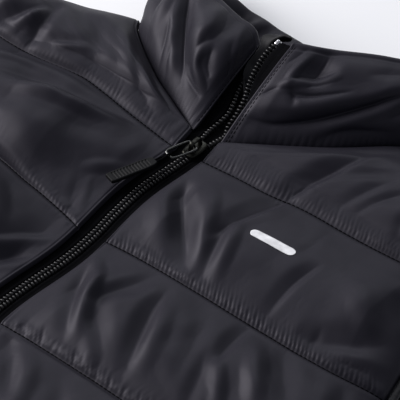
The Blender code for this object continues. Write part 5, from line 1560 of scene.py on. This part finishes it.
def armholeBinding(side):
    word = sideWord(side)
    turn, tipY = body["armTurn"], body["shoulderTip"][side][1]
    y = np.append([-169, -165, -155, -135, -106, -82, -60, -35, -10],
                  turn + np.array((0.375, 0.667, 0.896)) * (tipY - turn))
    edge = edgeAt(y, side)
    line = np.column_stack([edge[:, 0], y])
    along = unit(np.gradient(line, axis=0))
    line = line + bindingShape["armholeOut"] * np.stack([along[:, 1], -along[:, 0]], axis=-1)
    lowEnd, highEnd = line[0] + (7.6, -3.6), line[-1] + (2.4, 3.6)
    front = np.column_stack([line, edge[:, 1]])
    back = np.column_stack([line, edge[:, 2] - 0.6])
    ring = np.vstack([front, (*highEnd, 14.2), (*highEnd, 8.6),
                      back[::-1], (*lowEnd, 8.6), (*lowEnd, 14.6)])
    ring = rounded(ring, 2) * (side, 1, 1)
    loop, spacing = np.vstack([ring, ring[:1]]), bindingShape["armholeSpacing"]
    path = dense(loop, spacing)[:-1]
    section = oval(18, *bindingShape["armholeHalf"], bindingShape["squareness"])
    made = addMesh(f"armholeBinding{word.capitalize()}",
                   *sweep(path, section, closed=True, scale=gathers(len(path), 1.9, 0.37)),
                   finishes["elastic"])
    standsFor(f"armhole_binding_{word}")


def hemBinding():
    y, spacing = body["hemY"] - bindingShape["hemDown"], bindingShape["hemSpacing"]
    across = np.array([12, 40, 80, 120, 160, 195, 225, 244])
    frontZ = np.interp(across, (12, 160, 244), (24.6, 23.6, 16.5))
    half = [(x, y, z) for x, z in zip(across, frontZ)] + [(253.5, y, 12.4)]
    left = np.array(half + [(x, y, 7.2 - 1.2 * (1 - x / 244)) for x in (244, 215, 170, 120, 60)])
    path = dense(np.vstack([left, [(0, y, 6.0)], left[::-1] * (-1, 1, 1)]), spacing)
    section = oval(18, *bindingShape["hemHalf"], bindingShape["squareness"])
    made = addMesh("hemBinding",
                   *sweep(path, section, scale=gathers(len(path), 1.7, 0.31), lift=(0, 1, 0)),
                   finishes["elastic"])
    standsFor("hem_binding")


armholeBinding(1)
armholeBinding(-1)
hemBinding()


# Stitching
stitchShape = {
    "pitch": 3.0,
    "places": (0.0, 0.12, 0.35, 0.65, 0.88, 1.0),        # along one stitch
    "rise": (-0.35, 0.0, 0.12, 0.12, 0.0, -0.35),
    "thickness": (0.5, 0.85, 1, 1, 0.85, 0.5),
}


def stitches(name, lines, length=2.75, thread=0.42, lift=0.12):
    # each line is rows of point and outward direction; one short thread a stitch
    pitch = stitchShape["pitch"]
    ring = oval(7, 1, 1)
    parts = []
    for line in lines:
        rows = dense(np.asarray(line, float), pitch / 8)
        spots = np.arange(0, len(rows) - 8, 8)
        reach = length / pitch * 8
        for spot in spots:
            at = np.clip(spot + np.array(stitchShape["places"]) * reach, 0, len(rows) - 1)
            low = np.floor(at).astype(int)
            t = (at - low)[:, None]
            found = rows[low] * (1 - t) + rows[np.minimum(low + 1, len(rows) - 1)] * t
            rise = np.array(stitchShape["rise"])[:, None]
            path = found[:, :3] + found[:, 3:] * (lift + rise)
            scale = np.array(stitchShape["thickness"]) * thread
            parts.append(sweep(path, ring, scale=scale, lift=(0.3, 0.9, 0.3)))
    made = addMesh(name, *merged(parts), finishes["thread"])


def seamRows(top, rows):
    # the quilt lines of a settled front, with their directions, which are up
    found = []
    for k in range(1, len(frontRowPlan)):
        at = int(np.flatnonzero((rows[:, 0] == k) & (rows[:, 1] == 0))[0])
        found.append(np.hstack([top[at], np.tile((0.0, 0.0, 1.0), (len(top[at]), 1))])[2:])
    return found


stitches("quiltStitchesLeft", seamRows(leftTop, frontRows))
stitches("quiltStitchesRight", seamRows(rightTop, frontRows))


def collarTopstitch():
    # two rows along the left front edge of the collar, one along the right
    normal = gridNormals(collarOuter)
    lines = []
    for column in (3, 5, -4):
        low, high = (1, -3) if column > 0 else (4, -4)
        lines.append(np.hstack([collarOuter[low:high, column], normal[low:high, column]]))
    return lines


stitches("collarStitches", collarTopstitch(), length=2.8, thread=0.17, lift=0.0)
print("zip, pull, bindings and stitches ready", round(time.time() - started, 1))


# Plain reflective bar on the chest
chestBarShape = {
    "middle": (90.0, -57.0),
    "turn": math.radians(3.0),
    "halfLength": 15,
    "halfWidth": 3.0,
    "faces": (0.32, 0.12),    # above the cloth
}


def surfaceUnder(top, places):
    # heights and normals of a settled front at x, y places, from its nearest grid points
    flat, normal = top.reshape(-1, 3), gridNormals(top).reshape(-1, 3)
    heights, normals = [], []
    close = (np.abs(flat[:, :2] - places.mean(0)) < 26).all(1)
    near, nearNormal = flat[close], normal[close]
    for place in places:
        away = ((near[:, :2] - place) ** 2).sum(1)
        pick = np.argpartition(away, 8)[:8]
        weight = 1 / (away[pick] + 0.05)
        heights.append((near[pick, 2] * weight).sum() / weight.sum())
        normals.append((nearNormal[pick] * weight[:, None]).sum(0))
    normals = unit(np.array(normals))
    return np.array(heights), normals * np.sign(normals[:, 2:])


def chestBar():
    middle, turn = np.array(chestBarShape["middle"]), chestBarShape["turn"]
    length, width = chestBarShape["halfLength"], chestBarShape["halfWidth"]
    along = np.array((math.cos(turn), math.sin(turn)))
    across = np.array((-math.sin(turn), math.cos(turn)))
    s = np.linspace(-length, length, 61)
    pastFlat = np.clip(np.abs(s) - (length - width), 0, width)
    half = width * np.sqrt(np.clip(1 - (pastFlat / width) ** 2, 0.02, 1))   # its ends are half rounds
    t = np.linspace(-1, 1, 13)
    places = middle + s[:, None, None] * along + (half[:, None] * t[None])[..., None] * across
    height, normal = surfaceUnder(leftTop, places.reshape(-1, 2))
    base = np.column_stack([places.reshape(-1, 2), height])
    grid, normal = base.reshape(61, 13, 3), normal.reshape(61, 13, 3)
    high, low = chestBarShape["faces"]
    made = slab("chestBar", grid + normal * high, grid + normal * low, finishes["film"])


chestBar()
